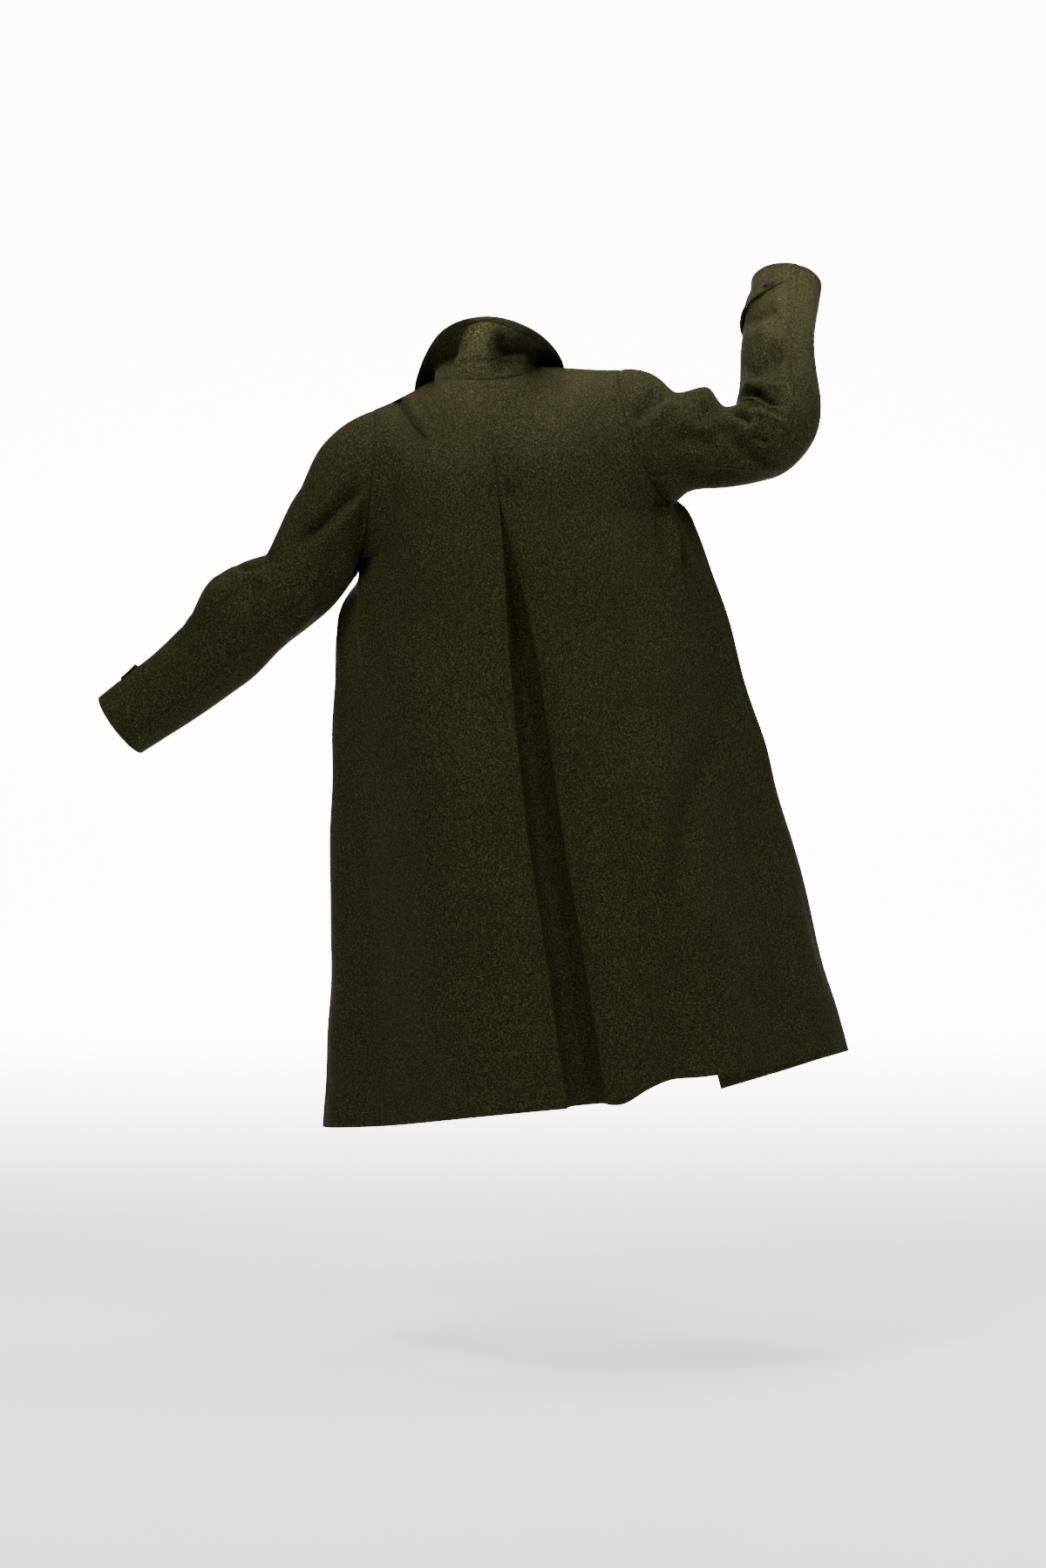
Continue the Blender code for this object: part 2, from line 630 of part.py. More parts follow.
def button(name, place, facing, radius):
    """A round button with softened edges, its back on the given place."""
    form = bmesh.new()
    bmesh.ops.create_cone(form, cap_ends=True, segments=BUTTON_SEGMENTS, radius1=radius,
                          radius2=radius, depth=BUTTON_THICKNESS)
    mesh = bpy.data.meshes.new(name)
    form.to_mesh(mesh)
    form.free()
    mesh.shade_smooth()
    piece = bpy.data.objects.new(name, mesh)
    turn = Vector((0, 0, 1)).rotation_difference(Vector(facing)).to_matrix().to_4x4()
    centre = Vector(place) + Vector(facing) * BUTTON_THICKNESS / 2
    piece.matrix_world = Matrix.Translation(centre) @ turn
    soft = piece.modifiers.new("edge", "BEVEL")
    soft.width = BUTTON_BEVEL
    soft.segments = 2
    soft.limit_method = "ANGLE"
    return add(piece, HORN)


def cuff_button(side):
    """The button near the tab's pointed end."""
    points = tab_points(side)
    middle = TAB_ROWS // 2
    column = round(TAB_BUTTON_SHARE * (TAB_COLUMNS - 1))
    place = points[middle, column]
    ahead = points[middle, column + 1] - points[middle, column - 1]
    up = points[middle + 1, column] - points[middle - 1, column]
    facing = unit(np.cross(ahead, up))
    away = place - np.array(SLEEVE[side][CUFF_STATION][1:4])
    facing = facing * math.copysign(1.0, float(np.dot(facing, away)))
    seat = place + facing * (TAB_WALL / 2 + LAID_ON)
    button("cuff_button_" + side, seat, facing, CUFF_BUTTON_RADIUS)


def front_button(number, station):
    """A button on the left front, a short way in from its edge."""
    level = np.array([station])
    across = BUTTON_FROM_EDGE / row_length("left", "front", level)
    on = panel("left", "front", across, level)[0]
    facing = unit(panel_moved("left", "front", across, level, np.array([1.0]))[0] - on)
    seat = on + facing * (WALL / 2 + FRONT_BUTTON_SEAT)
    button(f"front_button_{number}", seat, facing, FRONT_BUTTON_RADIUS)


def main():
    for old in list(bpy.data.objects):
        bpy.data.objects.remove(old, do_unlink=True)
    coat = bpy.data.collections.new("long_coat")
    bpy.context.scene.collection.children.link(coat)
    for side in ("left", "right"):
        cloth("back_" + side, back_points(side))
        cloth("front_" + side, front_points(side))
        cloth(f"sleeve_{side}_top", sleeve_points(side, "top"))
        cloth(f"sleeve_{side}_under", sleeve_points(side, "under"))
        cloth("cuff_tab_" + side, tab_points(side), TAB_WALL)
        cuff_button(side)
    cloth("pleat_underlay", underlay_points())
    cloth("collar_stand", stand_points())
    cloth("collar_fall", fall_points())
    for number, station in enumerate(FRONT_BUTTON_STATIONS, start=1):
        front_button(number, station)


main()
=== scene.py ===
"""Looks of the long coat: fine cloth on the part's own form, with its creases, sewing, wool and buttons.

The tables and surfaces repeat the part's own, in the same frame: origin at the middle of the neck base,
+X to the wearer's right, +Y the way the wearer faces, +Z up, metres. Grids are finer here, and the
surfaces carry the creases, seam grooves and stitches that the solids leave out.
"""
import math

import bmesh
import bpy
import numpy as np
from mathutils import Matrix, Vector


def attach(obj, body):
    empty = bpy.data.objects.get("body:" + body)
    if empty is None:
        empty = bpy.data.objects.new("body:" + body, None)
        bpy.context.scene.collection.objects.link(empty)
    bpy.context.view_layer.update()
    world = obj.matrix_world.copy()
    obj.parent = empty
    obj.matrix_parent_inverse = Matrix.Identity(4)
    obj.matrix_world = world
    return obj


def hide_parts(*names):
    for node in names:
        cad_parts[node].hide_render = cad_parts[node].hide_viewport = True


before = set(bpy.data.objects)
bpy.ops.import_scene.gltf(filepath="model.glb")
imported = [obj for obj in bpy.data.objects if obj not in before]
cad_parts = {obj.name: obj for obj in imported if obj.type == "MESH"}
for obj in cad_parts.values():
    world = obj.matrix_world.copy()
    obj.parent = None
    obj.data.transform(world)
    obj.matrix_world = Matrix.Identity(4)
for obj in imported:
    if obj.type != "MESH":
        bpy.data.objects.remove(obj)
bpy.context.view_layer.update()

# Camera of the photo: where it stands, its lens on a 36 mm long side, and the photo's size in pixels
CAMERA = (0.0467, -4.3, -0.6127)
LENS = 64.54
SENSOR = 36.0
PHOTO_WIDE = 1200.0
PHOTO_HIGH = 1799.0
PIXELS_FOCAL = LENS / SENSOR * PHOTO_HIGH
COAT_AWAY = 4.2
PIXEL = COAT_AWAY / PIXELS_FOCAL
FLOOR = -1.5

# Cloth and seams
WALL = 0.0018
SIDE_SEAM = -0.0012
CENTRE_SEAM = 0.0005
LAID_ON = 0.0004
UNDERLAY_CLEAR = 0.0006
SHOULDER_ROW = 0.12
SMALL_STEP = 1e-3
PATH_STEP = 0.05

# Grid sizes
PANEL_COLUMNS = 96
PANEL_ROWS = 260
RETURN_COLUMNS = 14
FOLD_STEPS = 7
SLEEVE_ROWS = 170
SLEEVE_COLUMNS = 56
COLLAR_COLUMNS = 220
STAND_ROWS = 14
FALL_ROWS = 60
TAB_COLUMNS = 61
TAB_ROWS = 17
UNDERLAY_BRIDGE = 24
CHORDS = 9

# The neck seam: back centre, side points at the shoulder seams, front ends
NECK_BACK = (-0.008, -0.075, -0.004)
NECK_SIDE = {"left": (-0.088, 0.0, 0.006), "right": (0.064, 0.0, 0.027)}
NECK_FRONT = {"left": (-0.045, 0.085, -0.085), "right": (0.045, 0.085, -0.062)}
NECK_SHARE = 0.4

# Each armhole is a loop through its shoulder tip, back, armpit and front
ARMHOLE = {
    "left": {
        "tip": (-0.184, 0.0, -0.043),
        "back": (-0.180, -0.070, -0.150),
        "pit": (-0.203, 0.005, -0.268),
        "front": (-0.165, 0.062, -0.155),
    },
    "right": {
        "tip": (0.196, 0.0, 0.020),
        "back": (0.213, -0.070, -0.100),
        "pit": (0.272, 0.0, -0.178),
        "front": (0.235, 0.060, -0.070),
    },
}
PIT_STATION = 2

# The centre back line, down the left edge of the pleat
CENTRE = (
    # station, x, y, z
    ("shoulder", -0.008, -0.075, -0.004),
    ("across", 0.004, -0.115, -0.120),
    ("armpit", 0.0165, -0.138, -0.250),
    ("ribs", 0.0225, -0.151, -0.350),
    ("waist", 0.030, -0.163, -0.460),
    ("hip", 0.052, -0.187, -0.675),
    ("thigh", 0.083, -0.208, -0.885),
    ("hem", 0.111, -0.222, -1.084),
)

# Body sections from the shoulder to the hem. Above the armpit the armhole loop takes the side seam's place.
BACK = {
    "left": (
        # station, middle x, y, z, side seam x, y, z
        ("shoulder", -0.088, 0.000, 0.006, -0.184, 0.000, -0.043),
        ("across", -0.085, -0.112, -0.125, -0.180, -0.070, -0.150),
        ("armpit", -0.100, -0.132, -0.260, -0.203, 0.005, -0.268),
        ("ribs", -0.099, -0.142, -0.360, -0.206, -0.030, -0.360),
        ("waist", -0.095, -0.152, -0.465, -0.199, -0.045, -0.460),
        ("hip", -0.075, -0.178, -0.685, -0.189, -0.052, -0.680),
        ("thigh", -0.052, -0.195, -0.905, -0.174, -0.060, -0.900),
        ("hem", -0.027, -0.205, -1.099, -0.166, -0.070, -1.128),
    ),
    "right": (
        ("shoulder", 0.064, 0.000, 0.027, 0.196, 0.000, 0.020),
        ("across", 0.100, -0.112, -0.085, 0.213, -0.070, -0.100),
        ("armpit", 0.150, -0.132, -0.225, 0.272, 0.000, -0.178),
        ("ribs", 0.170, -0.147, -0.328, 0.297, -0.033, -0.288),
        ("waist", 0.190, -0.160, -0.440, 0.322, -0.050, -0.420),
        ("hip", 0.240, -0.188, -0.660, 0.365, -0.065, -0.640),
        ("thigh", 0.275, -0.200, -0.860, 0.405, -0.085, -0.835),
        ("hem", 0.306, -0.190, -1.043, 0.440, -0.100, -1.030),
    ),
}
FRONT = {
    "left": (
        # station, front edge x, y, z, middle x, y, z
        ("shoulder", -0.045, 0.085, -0.085, -0.088, 0.000, 0.006),
        ("across", -0.030, 0.118, -0.190, -0.140, 0.100, -0.140),
        ("armpit", -0.025, 0.135, -0.300, -0.162, 0.102, -0.270),
        ("ribs", -0.027, 0.142, -0.385, -0.219, 0.062, -0.360),
        ("waist", -0.030, 0.150, -0.480, -0.237, 0.050, -0.470),
        ("hip", -0.035, 0.165, -0.690, -0.245, 0.050, -0.690),
        ("thigh", -0.040, 0.180, -0.900, -0.250, 0.050, -0.910),
        ("hem", -0.045, 0.195, -1.120, -0.264, 0.050, -1.141),
    ),
    "right": (
        ("shoulder", 0.045, 0.085, -0.062, 0.064, 0.000, 0.027),
        ("across", 0.060, 0.118, -0.170, 0.160, 0.100, -0.090),
        ("armpit", 0.085, 0.140, -0.290, 0.285, 0.060, -0.205),
        ("ribs", 0.122, 0.153, -0.388, 0.333, 0.049, -0.308),
        ("waist", 0.160, 0.165, -0.490, 0.375, 0.040, -0.430),
        ("hip", 0.235, 0.195, -0.700, 0.448, 0.040, -0.660),
        ("thigh", 0.305, 0.225, -0.905, 0.502, 0.035, -0.855),
        ("hem", 0.367, 0.250, -1.107, 0.552, 0.030, -1.022),
    ),
}
HEM_STATION = len(CENTRE) - 1

# The inverted pleat: each back panel's centre edge turns under, and the underlay joins the two returns
FOLD_RADIUS = 0.0016
SEAM_TURNING = 0.010
PLEAT_RETURN = 0.062
PLEAT_TOP_STATION = 1.50
PLEAT_OPENING = 0.062
PLEAT_OPENS_OVER = 3.1
PLEAT_SWING = (1.0, 0.12, 0.20)
UNDERLAY_DIP = 0.024
DIP_POWER = 6
DIP_STATIONS = 2
CENTRE_EASE = 0.3

# Broad folds of the hanging cloth: place across (0 centre, 1 side) at the start and at the hem, the station
# where it starts, its width as a share of the row, how far it stands out and how far the hem drops there
FOLDS = {
    "back_left": (
        # at start, at hem, start station, width, out, drop
        (0.55, 0.62, 3.2, 0.16, 0.006, 0.0),
    ),
    "back_right": (
        (0.11, 0.075, 4.2, 0.10, 0.012, 0.011),
        (0.42, 0.36, 2.8, 0.12, -0.012, -0.004),
        (0.72, 0.70, 2.4, 0.14, 0.010, 0.0),
    ),
    "front_left": (
        (0.30, 0.32, 2.8, 0.12, 0.012, 0.0),
        (0.62, 0.60, 3.2, 0.12, -0.010, 0.0),
    ),
    "front_right": (
        (0.30, 0.28, 2.8, 0.12, 0.012, 0.0),
        (0.60, 0.62, 2.8, 0.13, -0.012, 0.0),
    ),
}

# Sleeve sections from the armhole to the cuff: centre of the ring, half its width in the arm's bending
# plane, half its depth front to back, and the angle of the hind-arm seam from the top of the arm
SLEEVE = {
    "left": (
        # station, x, y, z, half width, half depth, hind seam degrees
        ("armhole", -0.192, 0.000, -0.155, 0.110, 0.066, 125.0),
        ("upper", -0.252, -0.008, -0.228, 0.074, 0.066, 122.0),
        ("above_elbow", -0.2995, -0.004, -0.3035, 0.065, 0.063, 120.0),
        ("elbow", -0.3605, 0.002, -0.3445, 0.072, 0.062, 118.0),
        ("forearm", -0.420, 0.018, -0.404, 0.066, 0.058, 118.0),
        ("lower", -0.497, 0.035, -0.465, 0.060, 0.054, 118.0),
        ("cuff", -0.575, 0.050, -0.522, 0.056, 0.050, 116.0),
    ),
    "right": (
        ("armhole", 0.234, 0.000, -0.079, 0.110, 0.066, 120.0),
        ("upper", 0.285, -0.010, -0.0925, 0.0765, 0.068, 122.0),
        ("above_elbow", 0.360, -0.014, -0.098, 0.060, 0.066, 122.0),
        ("elbow", 0.420, -0.010, -0.076, 0.062, 0.064, 112.0),
        ("bend", 0.437, 0.006, -0.030, 0.062, 0.061, 106.0),
        ("forearm", 0.4435, 0.050, 0.062, 0.055, 0.055, 102.0),
        ("cuff", 0.4565, 0.113, 0.172, 0.054, 0.052, 110.0),
    ),
}
FORE_SEAM_DEGREES = -115.0
# Broad bulges of the bent sleeves: angle and station of the middle, reach in degrees and stations, and how
# far they stand out
SLEEVE_FOLDS = {
    "left": (
        # degrees, station, degrees each way, stations each way, out
        (10.0, 3.35, 55.0, 0.35, 0.006),
    ),
    "right": (
        (5.0, 1.48, 60.0, 0.30, 0.016),
    ),
}
CROWN_EASE = 1.6
CROWN_HEAD = {"left": 0.016, "right": 0.008}
CUFF_STATION = len(SLEEVE["left"]) - 1

# The collar stands up at the back and rolls out at the sides, so its stand is high at the back and low in
# front. Its rows run from the left front end to the right one.
STAND_LEAN = 0.16
RIDGE_LEAN = 0.58
RIDGE_AT = -0.10
RIDGE_HALF = 0.30
STAND_SEAM = -0.0006
FALL_SEAM = -0.0003
COLLAR_END = 1.96
FALL = (
    # station, edge x, y, z, roll up, roll out, stand height
    ("left_point", -0.078, 0.150, -0.105, 0.024, 0.022, 0.010),
    ("left_front", -0.112, 0.085, -0.040, 0.032, 0.018, 0.010),
    ("left_side", -0.114, 0.012, 0.006, 0.036, 0.014, 0.012),
    ("left_back", -0.0740, -0.103, 0.0612, 0.030, -0.010, 0.022),
    ("back", -0.008, -0.088, 0.0880, 0.026, 0.000, 0.038),
    ("right_back", 0.0622, -0.107, 0.0628, 0.028, -0.010, 0.023),
    ("right_side", 0.104, 0.010, 0.034, 0.034, 0.014, 0.012),
    ("right_front", 0.104, 0.085, -0.012, 0.032, 0.018, 0.010),
    ("right_point", 0.080, 0.150, -0.080, 0.024, 0.022, 0.010),
)

# Cuff tabs: where they start and end round the sleeve, how far up from the cuff, and their size
TAB_HALF_WIDTH = 0.016
TAB_WALL = 0.0024
TAB_POINT_SHARE = 0.22
TAB_TAPER = 0.92
TAB_BUTTON_SHARE = 0.83
TAB = {
    "left": {"from_deg": 14.0, "to_deg": -92.0, "up_from": 0.062, "up_to": 0.046},
    "right": {"from_deg": -55.0, "to_deg": 84.0, "up_from": 0.080, "up_to": 0.040},
}

# Buttons
CUFF_BUTTON_RADIUS = 0.009
FRONT_BUTTON_RADIUS = 0.0125
BUTTON_THICKNESS = 0.0042
BUTTON_FROM_EDGE = 0.024
FRONT_BUTTON_STATIONS = (0.85, 1.65, 2.75, 4.10)

# Creases seen from behind, drawn as the photo shows them: places in photo pixels from one end to the other,
# half width in metres, and how far the cloth stands out, or in where it is negative
CREASES = {
    "back_left": (
        # half width, out, places
        (0.0075, -0.0110, ((451, 449), (459, 464), (468, 480), (480, 495), (494, 512))),
        (0.0130, 0.0060, ((468, 452), (480, 472), (496, 490))),
        (0.0140, -0.0050, ((440, 500), (446, 560), (448, 620), (446, 680))),
        (0.0080, 0.0055, ((417, 644), (416, 680), (416, 720), (419, 770))),
        (0.0042, -0.0034, ((576, 545), (570, 553), (565, 560), (559, 568))),
        (0.0042, -0.0034, ((577, 566), (571, 567), (566, 567), (558, 567))),
    ),
    "back_right": (
        (0.0065, 0.0125, ((757, 556), (763, 572), (769, 592), (774, 620), (775, 665))),
        (0.0055, -0.0150, ((769, 560), (774, 580), (778, 604), (783, 630), (786, 655))),
        (0.0090, -0.0040, ((746, 566), (754, 592), (760, 622), (764, 665))),
        (0.0042, -0.0034, ((572, 545), (578, 552), (584, 558), (592, 565))),
        (0.0042, -0.0034, ((572, 567), (579, 566), (586, 565), (594, 563))),
        (0.0220, -0.0140, ((823, 828), (803, 892), (787, 956), (779, 1036), (783, 1116), (787, 1180))),
        (0.0260, 0.0100, ((856, 850), (866, 960), (880, 1036), (905, 1170))),
        (0.0240, -0.0070, ((716, 446), (722, 462), (726, 480))),
    ),
    "sleeve_left": (
        (0.0110, -0.0200, ((417, 552), (402, 568), (389, 582), (370, 598), (352, 611), (329, 639))),
        (0.0120, 0.0080, ((411, 571), (394, 592), (378, 611), (358, 646))),
        (0.0070, -0.0110, ((419, 575), (417, 596), (415, 620), (411, 640))),
        (0.0055, -0.0090, ((312, 630), (306, 642), (296, 650), (280, 652), (266, 652))),
        (0.0160, -0.0080, ((300, 664), (288, 680), (276, 700))),
        (0.0160, 0.0060, ((262, 664), (246, 690), (232, 712))),
        (0.0090, 0.0060, ((366, 686), (346, 710), (322, 732))),
        (0.0140, -0.0050, ((220, 712), (206, 732), (190, 750))),
    ),
    "sleeve_right": (
        (0.0120, 0.0080, ((864, 381), (878, 386), (892, 392), (904, 399))),
        (0.0120, -0.0160, ((853, 432), (866, 424), (882, 414), (902, 404))),
        (0.0060, 0.0080, ((851, 449), (862, 441), (878, 443), (892, 445), (901, 438))),
        (0.0055, -0.0170, ((847, 458), (858, 452), (868, 451), (881, 460), (896, 468))),
        (0.0050, 0.0070, ((846, 464), (858, 459), (868, 460), (880, 466), (900, 474))),
        (0.0050, -0.0150, ((838, 471), (848, 474), (856, 478), (861, 488))),
        (0.0060, 0.0060, ((862, 474), (876, 476), (892, 484), (908, 492))),
        (0.0065, -0.0130, ((858, 497), (867, 502), (875, 506), (884, 509))),
        (0.0080, 0.0080, ((848, 482), (856, 497), (869, 508), (886, 517), (905, 527))),
        (0.0130, -0.0130, ((828, 480), (836, 496), (848, 512), (868, 524), (898, 531))),
        (0.0045, 0.0045, ((796, 531), (822, 534), (848, 536), (875, 537), (902, 536))),
        (0.0110, -0.0120, ((768, 540), (784, 545), (804, 547), (830, 546), (860, 545))),
        (0.0130, -0.0110, ((808, 460), (806, 472), (802, 486))),
        (0.0130, -0.0150, ((760, 446), (749, 457), (738, 470), (727, 484))),
        (0.0090, -0.0090, ((857, 379), (868, 369), (880, 361), (893, 354))),
        (0.0100, 0.0070, ((778, 456), (766, 468), (752, 483), (736, 500))),
        (0.0150, -0.0140, ((770, 499), (788, 501), (806, 505), (826, 511))),
    ),
}
# Creases of the hidden sides, on the surface itself: start and end across and down it, half widths and out.
# On panels across runs from the centre edge to the side; on sleeves it is degrees round from the top.
HIDDEN = {
    "front_left": (
        # from across, from station, to across, to station, half width across, out
        (0.30, 1.30, 0.55, 2.20, 0.070, -0.0040),
        (0.70, 2.30, 0.80, 4.00, 0.060, 0.0035),
        (0.45, 3.60, 0.42, 6.60, 0.070, -0.0045),
    ),
    "front_right": (
        (0.35, 1.20, 0.75, 1.95, 0.070, -0.0045),
        (0.45, 1.60, 0.85, 2.30, 0.060, 0.0040),
        (0.75, 2.60, 0.72, 5.00, 0.060, -0.0040),
        (0.45, 3.40, 0.44, 6.60, 0.070, 0.0045),
    ),
    "sleeve_left": (
        (-60.0, 2.60, -120.0, 3.30, 22.0, -0.0060),
        (-40.0, 3.10, -110.0, 2.90, 20.0, 0.0045),
        (-70.0, 1.00, -130.0, 1.90, 24.0, -0.0050),
        (-50.0, 4.40, -110.0, 4.70, 24.0, -0.0035),
    ),
    "sleeve_right": (
        (60.0, 0.96, -60.0, 0.96, 70.0, -0.0080),
        (60.0, 1.48, -60.0, 1.48, 70.0, 0.0050),
        (-30.0, 2.35, -100.0, 2.90, 18.0, -0.0060),
        (-25.0, 3.00, -95.0, 3.20, 18.0, 0.0045),
        (-30.0, 3.60, -100.0, 3.60, 20.0, -0.0055),
        (-60.0, 1.00, -120.0, 1.80, 24.0, -0.0045),
    ),
}
CREASE_STEPS = 60
CREASE_ENDS = 0.22

# Seams: a groove at the join and a low swell over the turnings beside it
GROOVE_DEPTH = 0.0006
TOP_GROOVE = 0.0016
SLEEVE_GROOVE = 0.0013
GROOVE_WIDTH = 0.0026
TURNING_RISE = 0.0002
TURNING_AT = 0.0090
TURNING_WIDTH = 0.0065
SEAM_EASE = 0.014
WAVE_EASE = 0.060
HEM_TURN = 0.036
HEM_STEP = 0.0005
HEM_EDGE = 0.004
CROWN_FADE = 0.25
FACING = (0.5, 1.2)
SLEEVE_ROW = 0.095
HIDDEN_SPREAD = 0.22
LOWER_ROW = 0.20

# The lie of the cloth: low waves with no two alike
WAVES = (
    # wave length, height, turn
    (0.310, 0.0022, 0.4),
    (0.190, 0.0014, 2.1),
    (0.110, 0.0007, 4.0),
)
WAVE_BEND = 1.2

# Sewing
STITCH_PITCH = 0.0034
STITCH_LENGTH = 0.0026
THREAD_RADIUS = 0.00055
THREAD_SIDES = 6
THREAD_RINGS = 5
THREAD_SCALE = 2500.0
THREAD_TIP = 0.25
LINE_STEPS = {"tack": 30, "stand": 160, "fall": 400}
FALL_STITCH_END = 0.04
STAND_STITCH_SHARES = (0.76, 0.88)
STAND_STITCH_END = 0.42
FALL_STITCH_SHARE = 0.88
FALL_GROOVE = 0.0022
FALL_GROOVE_SHARE = 0.035
FALL_RIM = 0.0030
HOLLOW_DEPTH = 0.014
HOLLOW_FROM = 0.34
HOLLOW_TO = 1.10
HOLLOW_SHARE = 0.80
HOLLOW_POWER = 1.6
CORNER_COLUMNS = 9
CORNER_STATION = 0.30
CORNER_EDGE = 0.10
TACK_HALF_WIDTH = 0.020
TACK_HEIGHT = 0.024
TACK_ROW = 0.131
TAB_LIFT = 0.0050
TAB_LIFT_SHARE = 0.96
TAB_STITCH_ROWS = 2
TAB_STITCH_COLUMNS = 6

# Woven leather buttons
BUTTON_RINGS = 40
BUTTON_AROUND = 72
BUTTON_TURN = 0.80
KNOT_STRANDS = 1.6
KNOT_RELIEF = 0.0016
KNOT_EDGE = 1.25
KNOT_TURN = (0.31, 0.0, 0.95)
DOME_BASE = 0.25
DOME_FOOT = 8
JOIN_WITHIN = 1e-6

# Finishes: linear colours, and sizes of their patterns as cycles a metre
WOOL_DARK = (0.0022, 0.0021, 0.0006)
WOOL_MID = (0.0145, 0.0136, 0.0049)
WOOL_YELLOW = (0.062, 0.058, 0.0250)
WOOL_BROWN = (0.0125, 0.0095, 0.0034)
WOOL_CLOUD = (0.01044, 0.009792, 0.003528)
FIBRES = {
    # noise moved to, scale, detail, roughness
    "fine": ((0.0, 0.0, 0.0), 1150.0, 2.0, 0.60),
    "yellow": ((3.1, 1.7, 0.4), 391.0, 6.0, 0.82),
    "brown": ((9.3, 2.2, 6.1), 460.0, 1.0, 0.50),
    "cloud": ((0.7, 5.2, 2.9), 11.0, 3.0, 0.55),
    "nap": ((4.4, 8.1, 7.3), 2200.0, 2.0, 0.60),
}
FINE_RANGE = (0.33, 0.67)
MELANGE = (
    # layer, noise from, to, share, colour
    ("yellow", 0.478, 0.592, 0.55, WOOL_YELLOW),
    ("brown", 0.58, 0.70, 0.5, WOOL_BROWN),
    ("cloud", 0.30, 0.72, 0.22, WOOL_CLOUD),
)
NAP_SHARES = {"fine": 0.5, "yellow": 0.25, "nap": 0.5}
WOOL_SPECULAR = 0.04
# The pleat's underlay wears a darker copy of the wool: painted shade for the depth of the pleat
UNDERLAY_PAINTED_SHADE = 0.85
NAP_STRENGTH = 0.30
NAP_DEPTH = 0.0007
WOOL_ROUGHNESS = 0.95
SHEEN_WEIGHT = 0.012
SHEEN_ROUGHNESS = 0.45
SHEEN_TINT = (0.62, 0.60, 0.42)
LEATHER_SCALE = 240.0
LEATHER_GRAIN = 1440.0
LEATHER_RANGE = (0.35, 0.75)
LEATHER_SPECULAR = 0.05
LEATHER_COAT = 0.012
LEATHER_COAT_ROUGHNESS = 0.2
GRAIN_MOVE = (2.0, 7.0, 1.0)
GRAIN_STRENGTH = 0.2
GRAIN_DEPTH = 0.0003
THREAD_RANGE = (0.35, 0.65)
THREAD_TONES = (0.6, 0.45)
THREAD_SPECULAR = 0.03
STAGE_ROUGHNESS = 0.9
LEATHER_DARK = (0.0040, 0.0020, 0.0016)
LEATHER_WORN = (0.014, 0.0070, 0.0050)

# Stage and light
STAGE_NEAR = 9.0
STAGE_FAR = 6.4
STAGE_CURVE = 1.6
STAGE_HIGH = 9.0
STAGE_HALF = 12.0
STAGE_COLOUR = (0.90, 0.90, 0.90)
LIGHTS = (
    # name, place, aim, size, power, spread in degrees
    ("key", (-0.9, -1.5, 2.1), (0.0, 0.0, 0.0), 0.8, 109.0, 180.0),
    ("fill", (1.8, -2.0, 1.5), (0.3, 0.0, 0.05), 0.9, 62.0, 180.0),
    ("top", (0.5, 0.2, 3.2), (0.0, 0.0, -0.4), 2.0, 160.0, 180.0),
    ("collar", (-1.6, -2.2, 1.1), (-0.02, -0.05, 0.13), 0.3, 1.35, 8.0),
    ("cuff", (1.0, -2.6, 0.9), (0.43, 0.0, 0.17), 0.3, 1.0, 9.0),
)
WORLD_COLOUR = (1.0, 1.0, 1.0)
WORLD_STRENGTH = 0.03
GLOW_STRENGTH = 12.0
GLOW_FLOOR = 0.05
GLOW_FROM = 1.0
GLOW_SIDES = (2.9, 4.4)
GLOW_TOP = (2.9, 4.2)


def seen(points):
    """Where the photo's camera sees points: pixels right and down."""
    away = points[..., 1] - CAMERA[1]
    right = PHOTO_WIDE / 2 + PIXELS_FOCAL * (points[..., 0] - CAMERA[0]) / away
    down = PHOTO_HIGH / 2 - PIXELS_FOCAL * (points[..., 2] - CAMERA[2]) / away
    return np.stack([right, down], axis=-1)


def ends(share):
    """1 along a crease, easing to 0 at both of its ends."""
    return smooth(share / CREASE_ENDS) * smooth((1 - share) / CREASE_ENDS)


def seen_creases(rows, points):
    """Creases drawn in the photo: a bell of the distance to a smooth line through the row's places."""
    at = seen(points)
    height = np.zeros(at.shape[:-1])
    for width, out, places in rows:
        share = np.linspace(0, 1, CREASE_STEPS)
        line = spline(places, share * (len(places) - 1))
        reach = 3 * width / PIXEL
        low, high = line.min(axis=0) - reach, line.max(axis=0) + reach
        near = np.all((at > low) & (at < high), axis=-1)
        gap = np.linalg.norm(at[near][:, None, :] - line[None], axis=-1)
        nearest = gap.argmin(axis=1)
        away = gap.min(axis=1) * PIXEL
        height[near] += out * np.exp(-(away / width) ** 2) * ends(share[nearest])
    return height


def hidden_creases(rows, across, station):
    """Creases on the hidden sides: a bell of the distance across to a line from start to end."""
    height = np.zeros(across.shape)
    for start, top, end, bottom, width, out in rows:
        long = (end - start) ** 2 / width**2 + (bottom - top) ** 2
        share = ((across - start) * (end - start) / width**2 + (station - top) * (bottom - top)) / long
        share = np.clip(share, 0, 1)
        away = ((across - start - share * (end - start)) / width) ** 2
        away = away + ((station - top - share * (bottom - top)) / HIDDEN_SPREAD) ** 2
        height = height + out * np.exp(-away) * ends(share)
    return height


def seam_relief(away, depth=GROOVE_DEPTH):
    """A groove at a seam and the low swell of the turnings beside it, by the distance from the seam."""
    return (TURNING_RISE * np.exp(-((away - TURNING_AT) / TURNING_WIDTH) ** 2)
            - depth * np.exp(-(away / GROOVE_WIDTH) ** 2))


def waves(points):
    """The lie of the cloth: three low waves that cross at odd angles."""
    height = np.zeros(points.shape[:-1])
    for length, size, turn in WAVES:
        along = points @ np.array([math.cos(turn), math.sin(3 * turn), math.sin(turn)])
        bend = np.sin(points @ np.array([math.sin(2 * turn), 1.0, math.cos(2 * turn)]) * 4 / length)
        height = height + size * np.sin(2 * math.pi * along / length + WAVE_BEND * bend)
    return height


